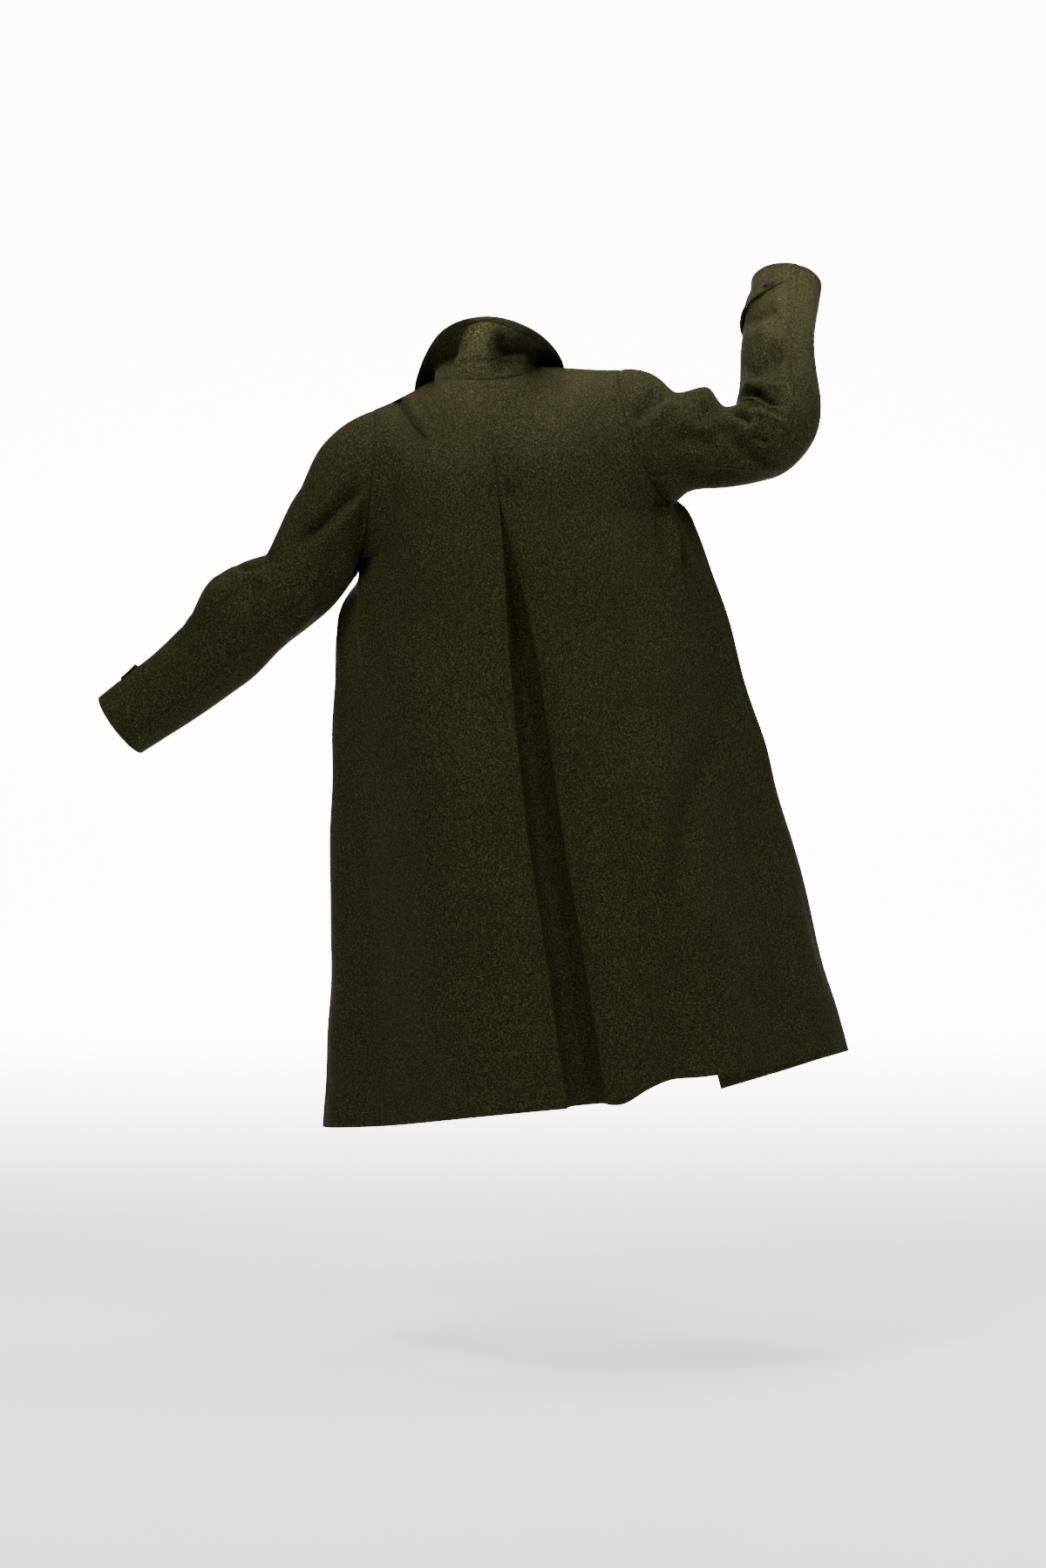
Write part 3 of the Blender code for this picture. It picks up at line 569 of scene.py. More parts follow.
def panel_relief(side, face, across, station, points):
    """Fine form of a body panel: creases, waves, seam grooves and the hem's turning."""
    name = face + "_" + side
    inner, middle = inner_edge(side, face, station), middle_line(side, face, station)
    outer = side_edge(side, face, station)
    length = np.linalg.norm(middle - inner, axis=-1) + np.linalg.norm(outer - middle, axis=-1)
    lie = waves(points) * smooth(station) * smooth((1 - across) * length / WAVE_EASE)
    height = seen_creases(CREASES.get(name, ()), points)
    height = height + hidden_creases(HIDDEN.get(name, ()), across, station)
    height = lie + height * smooth((1 - across) * length / SEAM_EASE)
    if face == "back":
        height = height * smooth(across * length / SEAM_EASE)
    height = height + seam_relief((1 - across) * length) + seam_relief(station * SHOULDER_ROW, TOP_GROOVE)
    hem = (HEM_STATION - station) * LOWER_ROW
    return height + HEM_STEP * (1 - smooth((hem - HEM_TURN) / HEM_EDGE))


def fall_relief(around, share):
    """Fine form of the fall: hollows beside its ridge, a groove under its stitches and a fuller rim."""
    away = (share - FALL_STITCH_SHARE) / FALL_GROOVE_SHARE
    wing = (1 - np.exp(-(((around - RIDGE_AT) / HOLLOW_FROM) ** 4))) * np.exp(-((around / HOLLOW_TO) ** 4))
    hollow = HOLLOW_DEPTH * wing * np.sin(math.pi * np.clip(share / HOLLOW_SHARE, 0, 1)) ** HOLLOW_POWER
    return FALL_RIM * smooth(away) - FALL_GROOVE * np.exp(-away**2) - hollow


def softened(lift, across, station):
    """A panel's rise to its top edge, averaged across more and more below it, so that no corner runs down."""
    if lift.ndim < 3 or lift.shape[1] < PANEL_COLUMNS:
        return lift
    span = np.arange(-CORNER_COLUMNS, CORNER_COLUMNS + 1)
    index = np.clip(np.arange(lift.shape[1])[:, None] + span, 0, lift.shape[1] - 1)
    share = smooth(station / CORNER_STATION) * smooth(across * (1 - across) / CORNER_EDGE)
    share = share[..., None]
    return lift * (1 - share) + lift[:, index].mean(axis=2) * share


def sleeve_relief(side, angle, station, points, outside):
    """Fine form of a sleeve: creases on the side that shows and on the hidden one, seams and cuff."""
    name = "sleeve_" + side
    degrees = (np.degrees(angle) + 180) % 360 - 180
    facing = smooth(FACING[0] - FACING[1] * outside[..., 1])
    height = waves(points) * smooth(station)
    height = height + seen_creases(CREASES[name], points) * facing
    height = height + hidden_creases(HIDDEN[name], degrees, station)
    size = spline([row[5:6] for row in SLEEVE[side]], station)[..., 0]
    hind = spline([row[6:7] for row in SLEEVE[side]], station)[..., 0]
    for seam in (hind, FORE_SEAM_DEGREES):
        away = np.abs((degrees - seam + 180) % 360 - 180)
        height = height + seam_relief(np.radians(away) * size, SLEEVE_GROOVE)
    start = seam_relief(station * SLEEVE_ROW, SLEEVE_GROOVE)
    cuff = (CUFF_STATION - station) * SLEEVE_ROW
    turning = HEM_STEP * (1 - smooth((cuff - HEM_TURN) / HEM_EDGE))
    return height * smooth(station / CROWN_FADE) + start + turning


def spline(rows, at):
    """Smooth curve through evenly spaced rows; at runs from 0 to the last row's number."""
    rows = np.asarray(rows, float)
    last = len(rows) - 1
    at = np.clip(np.asarray(at, float), 0.0, last)
    index = np.minimum(at.astype(int), last - 1)
    part = (at - index)[..., None]
    start, end = rows[index], rows[index + 1]
    before = np.where(index[..., None] > 0, rows[np.maximum(index - 1, 0)], 2 * start - end)
    after = np.where(index[..., None] < last - 1, rows[np.minimum(index + 2, last)], 2 * end - start)
    bend = 2 * before - 5 * start + 4 * end - after
    twist = 3 * start - before - 3 * end + after
    return 0.5 * (2 * start + (end - before) * part + bend * part**2 + twist * part**3)


def unit(vectors):
    """Vectors brought to length 1."""
    return vectors / np.maximum(np.linalg.norm(vectors, axis=-1, keepdims=True), 1e-12)


def smooth(value):
    """A soft step from 0 to 1 as the value goes from 0 to 1."""
    value = np.clip(value, 0.0, 1.0)
    return value * value * (3 - 2 * value)


def armhole(side, angle):
    """The armhole loop: 0 at the shoulder tip, a quarter turn at the back, a half turn at the armpit."""
    tip, back, pit, front = (np.array(ARMHOLE[side][key]) for key in ("tip", "back", "pit", "front"))
    middle = (tip + pit) / 2
    across = np.sin(angle)[..., None]
    reach = np.where(across > 0, across * (back - middle), -across * (front - middle))
    return middle + np.cos(angle)[..., None] * (tip - middle) + reach


def neck(around):
    """The neck seam: 0 at the back centre, 1 at a shoulder seam, 2 at a front end; left is negative."""
    around = np.asarray(around, float)[..., None]
    back = np.array(NECK_BACK)
    side = np.where(around < 0, np.array(NECK_SIDE["left"]), np.array(NECK_SIDE["right"]))
    front = np.where(around < 0, np.array(NECK_FRONT["left"]), np.array(NECK_FRONT["right"]))
    turn = np.clip(np.abs(around), 0, 1) * math.pi / 2
    drop = np.clip(np.abs(around) - 1, 0, 1) * math.pi / 2
    behind = back + (side - back) * np.stack(
        [np.sin(turn), 1 - np.cos(turn), 1 - np.cos(turn)], axis=-1).reshape(turn.shape[:-1] + (3,))
    ahead = (front - side) * np.stack(
        [1 - np.cos(drop), np.sin(drop), 1 - np.cos(drop)], axis=-1).reshape(drop.shape[:-1] + (3,))
    return behind + ahead


def top_edge(side, face, across):
    """A panel's top edge: along the neck seam, then along the shoulder seam to the tip."""
    sign = -1.0 if side == "left" else 1.0
    share = np.clip(across / NECK_SHARE, 0, 1)
    around = sign * (share if face == "back" else 2 - share)
    along = np.clip((across - NECK_SHARE) / (1 - NECK_SHARE), 0, 1)[..., None]
    tip = np.array(ARMHOLE[side]["tip"])
    shoulder = np.array(NECK_SIDE[side]) * (1 - along) + tip * along
    return np.where(across[..., None] < NECK_SHARE, neck(around), shoulder)


def side_edge(side, face, station):
    """A panel's outer edge: the armhole's half down to the armpit, then the side seam."""
    table = np.array([row[4:7] for row in BACK[side]])
    turn = math.pi / 2 if face == "back" else -math.pi / 2
    loop = armhole(side, np.minimum(station, PIT_STATION) * turn)
    seam = spline(table[PIT_STATION:], np.maximum(station - PIT_STATION, 0.0))
    return np.where((station < PIT_STATION)[..., None], loop, seam)


def inner_edge(side, face, station):
    """A panel's centre edge: the centre back line, swung open at the pleat on the right, or the front."""
    if face == "front":
        return spline([row[1:4] for row in FRONT[side]], station)
    line = spline([row[1:4] for row in CENTRE], station)
    if side == "left":
        return line
    opening = PLEAT_OPENING * np.tanh(np.maximum(station - PLEAT_TOP_STATION, 0) / PLEAT_OPENS_OVER)
    return line + opening[..., None] * np.array(PLEAT_SWING)


def middle_line(side, face, station):
    """The line down the middle of a panel."""
    rows = [row[1:4] for row in BACK[side]] if face == "back" else [row[4:7] for row in FRONT[side]]
    return spline(rows, station)


def plain_panel(side, face, across, station):
    """A body panel without its folds: each row is a smooth curve from the centre edge to the outer edge."""
    inner = inner_edge(side, face, station)
    middle = middle_line(side, face, station)
    outer = side_edge(side, face, station)
    past = middle_line(side, "front" if face == "back" else "back", station)
    below = smooth(station - PIT_STATION)[..., None]
    beyond = below * past + (1 - below) * (2 * outer - middle)
    first = np.clip(across * 2, 0, 1)[..., None]
    second = np.clip(across * 2 - 1, 0, 1)[..., None]
    slope_in = (4 * middle - 3 * inner - outer) / 2
    slope_mid = (outer - inner) / 2
    slope_out = (beyond - middle) / 2

    def piece(start, end, slope_a, slope_b, part):
        square, cube = part**2, part**3
        return ((2 * cube - 3 * square + 1) * start + (cube - 2 * square + part) * slope_a
                + (3 * square - 2 * cube) * end + (cube - square) * slope_b)

    return np.where(across[..., None] < 0.5, piece(inner, middle, slope_in, slope_mid, first),
                    piece(middle, outer, slope_mid, slope_out, second))


def panel(side, face, across, station):
    """A body panel: its rows, brought to the neck and shoulder seams at the top, with its broad folds."""
    across, station = np.broadcast_arrays(np.asarray(across, float), np.asarray(station, float))
    points = plain_panel(side, face, across, station)
    lift = top_edge(side, face, across) - plain_panel(side, face, across, np.zeros_like(station))
    points = points + softened(lift, across, station) * (1 - smooth(station))[..., None]
    out = normal(lambda a, s: plain_panel(side, face, a, s), across, station)
    height = np.zeros_like(station)
    lower = np.zeros_like(station)
    for at_start, at_hem, start, width, depth, drop in FOLDS[face + "_" + side]:
        down = np.clip((station - start) / (HEM_STATION - start), 0, 1)
        place = at_start + (at_hem - at_start) * down
        swell = smooth(down) * np.exp(-((across - place) / width) ** 2)
        height = height + depth * swell
        lower = lower + drop * swell
    points = points + out * height[..., None] * outward(side, face)
    fine = panel_relief(side, face, across, station, points)
    points = points + out * fine[..., None] * outward(side, face)
    return points - lower[..., None] * np.array([0, 0, 1.0])


def outward(side, face):
    """The sign that points a panel's normal away from the wearer."""
    return 1.0 if (side == "left") == (face == "back") else -1.0


def normal(surface, first, second, step=SMALL_STEP):
    """The normal of a surface of two parameters, from small steps along both."""
    along = surface(first + step, second) - surface(first - step, second)
    down = surface(first, second + step) - surface(first, second - step)
    return unit(np.cross(along, down))


def panel_moved(side, face, across, station, distance):
    """Points of a panel moved out by a distance, or in where it is negative."""
    across, station = np.broadcast_arrays(np.asarray(across, float), np.asarray(station, float))
    place = np.clip(across, 2 * SMALL_STEP, 1 - 2 * SMALL_STEP)
    level = np.clip(station, 2 * SMALL_STEP, HEM_STATION - 2 * SMALL_STEP)
    out = normal(lambda a, s: panel(side, face, a, s), place, level) * outward(side, face)
    return panel(side, face, across, station) + out * np.asarray(distance)[..., None]


def row_length(side, face, station):
    """How long a panel's row is, from a few chords."""
    across = np.linspace(0, 1, CHORDS)
    points = panel(side, face, across[None, :], station[:, None])
    return np.linalg.norm(np.diff(points, axis=1), axis=2).sum(axis=1)


def panel_stations():
    """Stations of a panel's rows, from the shoulder to the hem."""
    return np.linspace(0, HEM_STATION, PANEL_ROWS)


def side_end(side, face, stations):
    """Where each row ends: at the armhole, or a little past the side seam."""
    gap = np.where(stations < PIT_STATION, 0.0, SIDE_SEAM / 2)
    return 1 - gap / row_length(side, face, stations)


def pleat_return(station):
    """How far a back panel's centre edge turns under: a seam turning, then the pleat."""
    down = (station - PLEAT_TOP_STATION) / (HEM_STATION - PLEAT_TOP_STATION)
    return SEAM_TURNING + (PLEAT_RETURN - SEAM_TURNING) * np.clip(down, 0, 1)


def centre_gap(side):
    """The step sideways that keeps the two back panels clear of each other at the centre."""
    return np.array([CENTRE_SEAM / 2 if side == "right" else -CENTRE_SEAM / 2, 0.0, 0.0])


def return_points(side, stations, inset):
    """The turned-under strip of a back panel, from its inner end to the fold."""
    length = row_length(side, "back", stations)
    share = np.linspace(1, 0, RETURN_COLUMNS)[None, :]
    across = (FOLD_RADIUS + pleat_return(stations)[:, None] * share) / length[:, None]
    points = panel_moved(side, "back", across, stations[:, None], np.full(across.shape, -inset))
    return points + centre_gap(side)


def back_points(side):
    """A back panel's rows: return strip, fold, then the panel to its side."""
    stations = panel_stations()
    length = row_length(side, "back", stations)[:, None]
    strip = return_points(side, stations, 2 * FOLD_RADIUS)
    turn = np.linspace(math.pi, 0, FOLD_STEPS + 2)[None, 1:-1]
    across = FOLD_RADIUS * (1 - np.sin(turn)) / length
    depth = -FOLD_RADIUS * (1 - np.cos(turn)) * np.ones_like(length)
    fold = panel_moved(side, "back", across, stations[:, None], depth)
    share = np.linspace(0, 1, PANEL_COLUMNS)[None, :]
    start = FOLD_RADIUS / length
    across = start + (side_end(side, "back", stations)[:, None] - start) * share
    sheet = panel(side, "back", across, stations[:, None])
    near = np.clip(1 - share / CENTRE_EASE, 0, 1)[..., None]
    return np.concatenate([strip, fold + centre_gap(side), sheet + centre_gap(side) * near], axis=1)


def underlay_points():
    """The pleat's underlay: laid on both returns and bridging the opening a little deeper."""
    stations = panel_stations()
    stations = stations[stations > PLEAT_TOP_STATION]
    inset = 2 * FOLD_RADIUS + WALL + UNDERLAY_CLEAR
    left = return_points("left", stations, inset)
    right = return_points("right", stations, inset)[:, ::-1]
    share = np.linspace(0, 1, UNDERLAY_BRIDGE + 2)[None, 1:-1, None]
    bridge = left[:, -1:] * (1 - share) + right[:, :1] * share
    opening = smooth((stations - PLEAT_TOP_STATION) / DIP_STATIONS)[:, None]
    bridge[..., 1] += UNDERLAY_DIP * opening * (1 - (2 * share[..., 0] - 1) ** DIP_POWER)
    return np.concatenate([left, bridge, right], axis=1)


def front_points(side):
    """A front panel's rows, from the open front edge to the side."""
    stations = panel_stations()
    share = np.linspace(0, 1, PANEL_COLUMNS)[None, :]
    across = share * side_end(side, "front", stations)[:, None]
    return panel(side, "front", across, stations[:, None])


def sleeve_frame(side, station):
    """A sleeve ring's centre and its two unit directions, up and back, square to the arm's line."""
    path = [row[1:4] for row in SLEEVE[side]]
    centre = spline(path, station)
    along = unit(spline(path, station + PATH_STEP) - spline(path, station - PATH_STEP))
    sign = 1.0 if side == "right" else -1.0
    up = unit(np.stack([-sign * along[..., 2], 0 * along[..., 1], sign * along[..., 0]], axis=-1))
    back = unit(np.cross(along, up)) * sign
    return centre, up, back


def sleeve(side, angle, station):
    """A sleeve: oval rings along the arm's line, eased from the armhole's own loop."""
    angle, station = np.broadcast_arrays(np.asarray(angle, float), np.asarray(station, float))
    centre, up, back = sleeve_frame(side, station)
    sizes = spline([row[4:6] for row in SLEEVE[side]], station)
    ring = centre + up * (sizes[..., :1] * np.cos(angle)[..., None])
    ring = ring + back * (sizes[..., 1:] * np.sin(angle)[..., None])
    start = np.array(SLEEVE[side][0][1:4])
    loop = armhole(side, angle) + (centre - start)
    ease = (1 - smooth(station / CROWN_EASE))[..., None]
    head = CROWN_HEAD[side] * np.sin(math.pi * np.clip(station, 0, 1)) * np.maximum(np.cos(angle), 0)
    swell = np.zeros_like(angle)
    for at, level, reach, stretch, out in SLEEVE_FOLDS[side]:
        away = (np.degrees(angle) - at + 180) % 360 - 180
        swell = swell + out * np.exp(-(away / reach) ** 2 - ((station - level) / stretch) ** 2)
    outside = unit(ring - centre)
    points = ring * (1 - ease) + loop * ease + up * head[..., None] + outside * swell[..., None]
    return points + outside * sleeve_relief(side, angle, station, points, outside)[..., None]


def sleeve_moved(side, angle, station, distance):
    """Points of a sleeve moved out by a distance."""
    angle, station = np.broadcast_arrays(np.asarray(angle, float), np.asarray(station, float))
    level = np.clip(station, 2 * SMALL_STEP, CUFF_STATION - 2 * SMALL_STEP)
    out = normal(lambda a, s: sleeve(side, a, s), angle, level)
    centre = sleeve_frame(side, level)[0]
    points = sleeve(side, angle, station)
    sign = np.sign(np.sum(out * (points - centre), axis=-1, keepdims=True))
    return points + out * sign * np.asarray(distance)[..., None]


def sleeve_points(side, piece):
    """One piece of a two-piece sleeve, between the hind-arm seam and the front seam."""
    stations = np.linspace(0, CUFF_STATION, SLEEVE_ROWS)
    hind = np.radians(spline([row[6:7] for row in SLEEVE[side]], stations))
    fore = np.full_like(hind, math.radians(FORE_SEAM_DEGREES))
    first, last = (fore, hind) if piece == "top" else (hind, fore + 2 * math.pi)
    share = np.linspace(0, 1, SLEEVE_COLUMNS)[None, :]
    return sleeve(side, first + (last - first) * share, stations[:, None])


def collar_base(around, height):
    """The stand: the neck seam raised square to itself, leaning in, its middle ridge leaning out."""
    around, height = np.broadcast_arrays(np.asarray(around, float), np.asarray(height, float))
    base = neck(around)
    seam = unit(neck(around + PATH_STEP) - neck(around - PATH_STEP))
    rise = unit(np.array([0, 0, 1.0]) - seam * seam[..., 2:])
    lean = unit(np.stack([-base[..., 0], -base[..., 1], 0 * base[..., 2]], axis=-1))
    ridge = np.exp(-(((around - RIDGE_AT) / RIDGE_HALF) ** 4))
    lean = lean * (STAND_LEAN - RIDGE_LEAN * ridge)[..., None]
    return base + (rise + lean) * height[..., None]


def collar_row(around):
    """The collar's table at a place along the neck seam."""
    return spline([row[1:7] for row in FALL], (around + 2) * 2)


def stand_points():
    """The collar stand's rows, from the neck seam up."""
    around = np.linspace(-COLLAR_END, COLLAR_END, COLLAR_COLUMNS)[None, :]
    share = np.linspace(0, 1, STAND_ROWS)[:, None]
    height = STAND_SEAM + (collar_row(around)[..., 5] - STAND_SEAM) * share
    return collar_base(around, height)


def fall(around, share):
    """The collar's fall: a curve from the stand's top, rolled up and out to the outer edge."""
    around, share = np.broadcast_arrays(np.asarray(around, float), np.asarray(share, float))
    row = collar_row(around)
    base = collar_base(around, row[..., 5] + FALL_SEAM)
    edge, roll_up, roll_out = row[..., :3], row[..., 3:4], row[..., 4:5]
    out = unit(base * np.array([1, 1, 0]))
    control = base + roll_up * np.array([0, 0, 1.0]) + roll_out * out
    part = share[..., None]
    curve = (1 - part) ** 2 * base + 2 * part * (1 - part) * control + part**2 * edge
    return curve + out * fall_relief(around[..., None], part)


def fall_points():
    """The collar fall's rows, from the stand to the outer edge."""
    around = np.linspace(-COLLAR_END, COLLAR_END, COLLAR_COLUMNS)[None, :]
    share = np.linspace(0, 1, FALL_ROWS)[:, None]
    return fall(around, share)


def tab_points(side):
    """A cuff tab: a strap on the sleeve's own points, moved out, its end drawn to a point."""
    size = TAB[side]
    along = np.linspace(0, 1, TAB_COLUMNS)[None, :]
    across = np.linspace(-1, 1, TAB_ROWS)[:, None]
    rows = np.array([row[1:4] for row in SLEEVE[side]])
    spacing = np.linalg.norm(rows[-1] - rows[-2])
    taper = 1 - TAB_TAPER * np.clip((along - 1 + TAB_POINT_SHARE) / TAB_POINT_SHARE, 0, 1)
    up = size["up_from"] + (size["up_to"] - size["up_from"]) * along
    station = CUFF_STATION - (up + across * TAB_HALF_WIDTH * taper) / spacing
    angle = np.radians(size["from_deg"] + (size["to_deg"] - size["from_deg"]) * along) + 0 * across
    lift = TAB_LIFT * ((across + 1) / 2) ** 2 * np.sqrt(np.sin(math.pi * along * TAB_LIFT_SHARE))
    distance = WALL / 2 + TAB_WALL / 2 + LAID_ON + lift
    return sleeve_moved(side, angle, station, distance)


def grid_object(name, points, wall=0.0):
    """A sheet of cloth: a grid of quads through rows of points, thickened both ways where a wall is given."""
    rows, columns = points.shape[:2]
    index = np.arange(rows * columns).reshape(rows, columns)
    faces = np.stack([index[:-1, :-1], index[:-1, 1:], index[1:, 1:], index[1:, :-1]], axis=-1).reshape(-1, 4)
    mesh = bpy.data.meshes.new(name)
    mesh.from_pydata(points.reshape(-1, 3).tolist(), [], faces.tolist())
    mesh.shade_smooth()
    piece = bpy.data.objects.new(name, mesh)
    bpy.context.scene.collection.objects.link(piece)
    if wall:
        thick = piece.modifiers.new("wall", "SOLIDIFY")
        thick.thickness = wall
        thick.offset = 0.0
    return piece


def cut(points):
    """The flat size of a piece: its widest row, its longest column and its area, from its grid."""
    along = np.linalg.norm(np.diff(points, axis=1), axis=2).sum(axis=1).max()
    down = np.linalg.norm(np.diff(points, axis=0), axis=2).sum(axis=0).max()
    first, second = points[1:, 1:] - points[:-1, :-1], points[:-1, 1:] - points[1:, :-1]
    area = np.linalg.norm(np.cross(first, second), axis=2).sum() / 2
    return (float(along), float(down)), float(area)


def dress(node, points, finish, wall=WALL):
    """A cloth piece in place of its solid, with its finish; the size it was cut to is worked out but kept
    nowhere.
    """
    piece = grid_object("cloth_" + node, points, wall)
    piece.data.materials.append(finish)
    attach(piece, "root")
    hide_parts(node)
    flat, area = cut(points)
    return piece


def between_points(at, gone, points):
    """Points on a line at distances along it, by straight steps between its own points."""
    return np.stack([np.interp(at, gone, column) for column in points.T], axis=-1)


def stitches(name, lines, finish):
    """Rows of stitches: short tapered rods set end to end along lines of points with their normals."""
    turn = np.linspace(0, 2 * math.pi, THREAD_SIDES, endpoint=False)
    reach = np.linspace(-1, 1, THREAD_RINGS)
    swell = np.sqrt(np.clip(1 - reach**2, 0, 1)) * (1 - THREAD_TIP) + THREAD_TIP
    made, faces, count = [], [], 0
    corner = np.arange(THREAD_SIDES)
    ring = np.stack([corner, (corner + 1) % THREAD_SIDES,
                     (corner + 1) % THREAD_SIDES + THREAD_SIDES, corner + THREAD_SIDES], axis=-1)
    quads = (ring[None] + (np.arange(THREAD_RINGS - 1) * THREAD_SIDES)[:, None, None]).reshape(-1, 4)
    for points, normals in lines:
        gone = np.concatenate([[0], np.cumsum(np.linalg.norm(np.diff(points, axis=0), axis=1))])
        places = np.arange(STITCH_PITCH / 2, gone[-1], STITCH_PITCH)
        at, up = between_points(places, gone, points), unit(between_points(places, gone, normals))
        along = unit(between_points(places + STITCH_PITCH / 4, gone, points)
                     - between_points(places - STITCH_PITCH / 4, gone, points))
        side = unit(np.cross(along, up))
        offset = (along[:, None, None] * (reach * STITCH_LENGTH / 2)[None, :, None, None]
                  + (side[:, None, None] * np.cos(turn)[None, None, :, None]
                     + up[:, None, None] * np.sin(turn)[None, None, :, None])
                  * (THREAD_RADIUS * swell)[None, :, None, None])
        made.append((at[:, None, None] + offset).reshape(-1, 3))
        each = THREAD_SIDES * THREAD_RINGS
        faces.append((quads[None] + (count + np.arange(len(at)) * each)[:, None, None]).reshape(-1, 4))
        count += len(at) * each
    mesh = bpy.data.meshes.new(name)
    mesh.from_pydata(np.concatenate(made).tolist(), [], np.concatenate(faces).tolist())
    mesh.shade_smooth()
    mesh.materials.append(finish)
    piece = bpy.data.objects.new(name, mesh)
    bpy.context.scene.collection.objects.link(piece)
    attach(piece, "root")
    return piece


def line_normals(points, moved):
    """Unit vectors from points to the same points moved out."""
    return points, unit(moved - points)


def panel_line(side, face, across, station):
    """A line on a panel's outside, with its normals."""
    lift = WALL / 2 + THREAD_RADIUS / 2
    on = panel_moved(side, face, across, station, np.full(across.shape, lift))
    return line_normals(on, panel_moved(side, face, across, station, np.full(across.shape, 2 * lift)))


def tack_lines():
    """The stitched triangle over the pleat: its apex on the centre seam, its base a bar below."""
    lines = []
    share = np.linspace(0, 1, LINE_STEPS["tack"])
    for side in ("left", "right"):
        length = row_length(side, "back", np.array([PLEAT_TOP_STATION]))[0]
        edge = FOLD_RADIUS / length
        out = TACK_HALF_WIDTH / length
        apex = PLEAT_TOP_STATION - TACK_HEIGHT / TACK_ROW
        for start in (PLEAT_TOP_STATION, apex):
            station = start + (PLEAT_TOP_STATION - start) * share
            lines.append(panel_line(side, "back", edge + (out - edge) * share, station))
    return lines


def collar_lines():
    """Two rows along the stand's top, and one row on each face a little inside the fall's outer edge."""
    lines = []
    around = np.linspace(-STAND_STITCH_END, STAND_STITCH_END, LINE_STEPS["stand"])
    for share in STAND_STITCH_SHARES:
        height = share * collar_row(around)[..., 5]
        on = collar_base(around, height)
        out = stand_out(around, height)
        lines.append((on + out * (WALL / 2 + THREAD_RADIUS / 2), out))
    end = COLLAR_END - FALL_STITCH_END
    around = np.linspace(-end, end, LINE_STEPS["fall"])
    inside = np.full_like(around, FALL_STITCH_SHARE)
    on = fall(around, inside)
    out = normal(fall, around, inside)
    for face in (1.0, -1.0):
        lines.append((on + face * out * (WALL / 2 + THREAD_RADIUS / 2), face * out))
    return lines


def stand_out(around, height):
    """The stand's outward normal."""
    out = normal(collar_base, around, height)
    away = collar_base(around, height) * np.array([1, 1, 0])
    return out * np.sign(np.sum(out * away, axis=-1, keepdims=True))


def tab_lines(side):
    """A row of stitches round a tab, a little inside its edge."""
    points = tab_points(side)
    rows, columns = points.shape[:2]
    first, last = TAB_STITCH_ROWS, rows - 1 - TAB_STITCH_ROWS
    end = columns - TAB_STITCH_COLUMNS
    path = np.concatenate([points[first, :end], points[first:last, end], points[last, end - 1::-1]])
    middle = tab_middle(side)
    out = unit(path - middle)
    return [(path + out * (TAB_WALL / 2 + THREAD_RADIUS / 2), out)]


def tab_middle(side):
    """The middle of the sleeve under a tab."""
    size = TAB[side]
    rows = np.array([row[1:4] for row in SLEEVE[side]])
    up = (size["up_from"] + size["up_to"]) / 2 / np.linalg.norm(rows[-1] - rows[-2])
    return sleeve_frame(side, np.array(CUFF_STATION - up))[0]


def knot_button(name, node, place, facing, radius, finish):
    """A woven leather button: a dome over a disc, with strands that cross over and under each other."""
    facing = unit(np.asarray(facing, float))
    level = unit(np.cross(facing, np.array(KNOT_TURN)))
    third = np.cross(facing, level)
    share = np.linspace(0, 1, BUTTON_RINGS)[:, None]
    turn = np.linspace(0, 2 * math.pi, BUTTON_AROUND + 1)[None, :]
    bend = np.clip((share - BUTTON_TURN) / (1 - BUTTON_TURN), 0, 1)
    flat = radius * np.where(share < BUTTON_TURN, np.sin(share / BUTTON_TURN * math.pi / 2), 1 - bend)
    dome = np.cos(share / BUTTON_TURN * math.pi / 2) * (1 - DOME_BASE) + DOME_BASE
    foot = DOME_BASE * np.clip(1 - DOME_FOOT * bend, 0, 1)
    up = BUTTON_THICKNESS * np.where(share < BUTTON_TURN, dome, foot)
    first = flat * np.cos(turn) / radius * KNOT_STRANDS
    second = flat * np.sin(turn) / radius * KNOT_STRANDS
    over = (np.floor(first) + np.floor(second)) % 2 < 1
    strand = np.where(over, np.abs(np.sin(math.pi * first)), np.abs(np.sin(math.pi * second)))
    shown = np.clip(KNOT_EDGE - share / BUTTON_TURN, 0, 1) * (share < BUTTON_TURN)
    relief = KNOT_RELIEF * np.sqrt(strand) * shown
    round_it = (flat * np.cos(turn))[..., None] * level + (flat * np.sin(turn))[..., None] * third
    points = np.asarray(place) + round_it + (up + relief)[..., None] * facing
    piece = grid_object(name, points)
    merge(piece)
    piece.data.materials.append(finish)
    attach(piece, "root")
    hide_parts(node)
    return piece


def merge(piece):
    """Closes a turned surface: its doubled points along the start and at the poles become one."""
    form = bmesh.new()
    form.from_mesh(piece.data)
    bmesh.ops.remove_doubles(form, verts=form.verts, dist=JOIN_WITHIN)
    bmesh.ops.recalc_face_normals(form, faces=form.faces)
    form.to_mesh(piece.data)
    form.free()


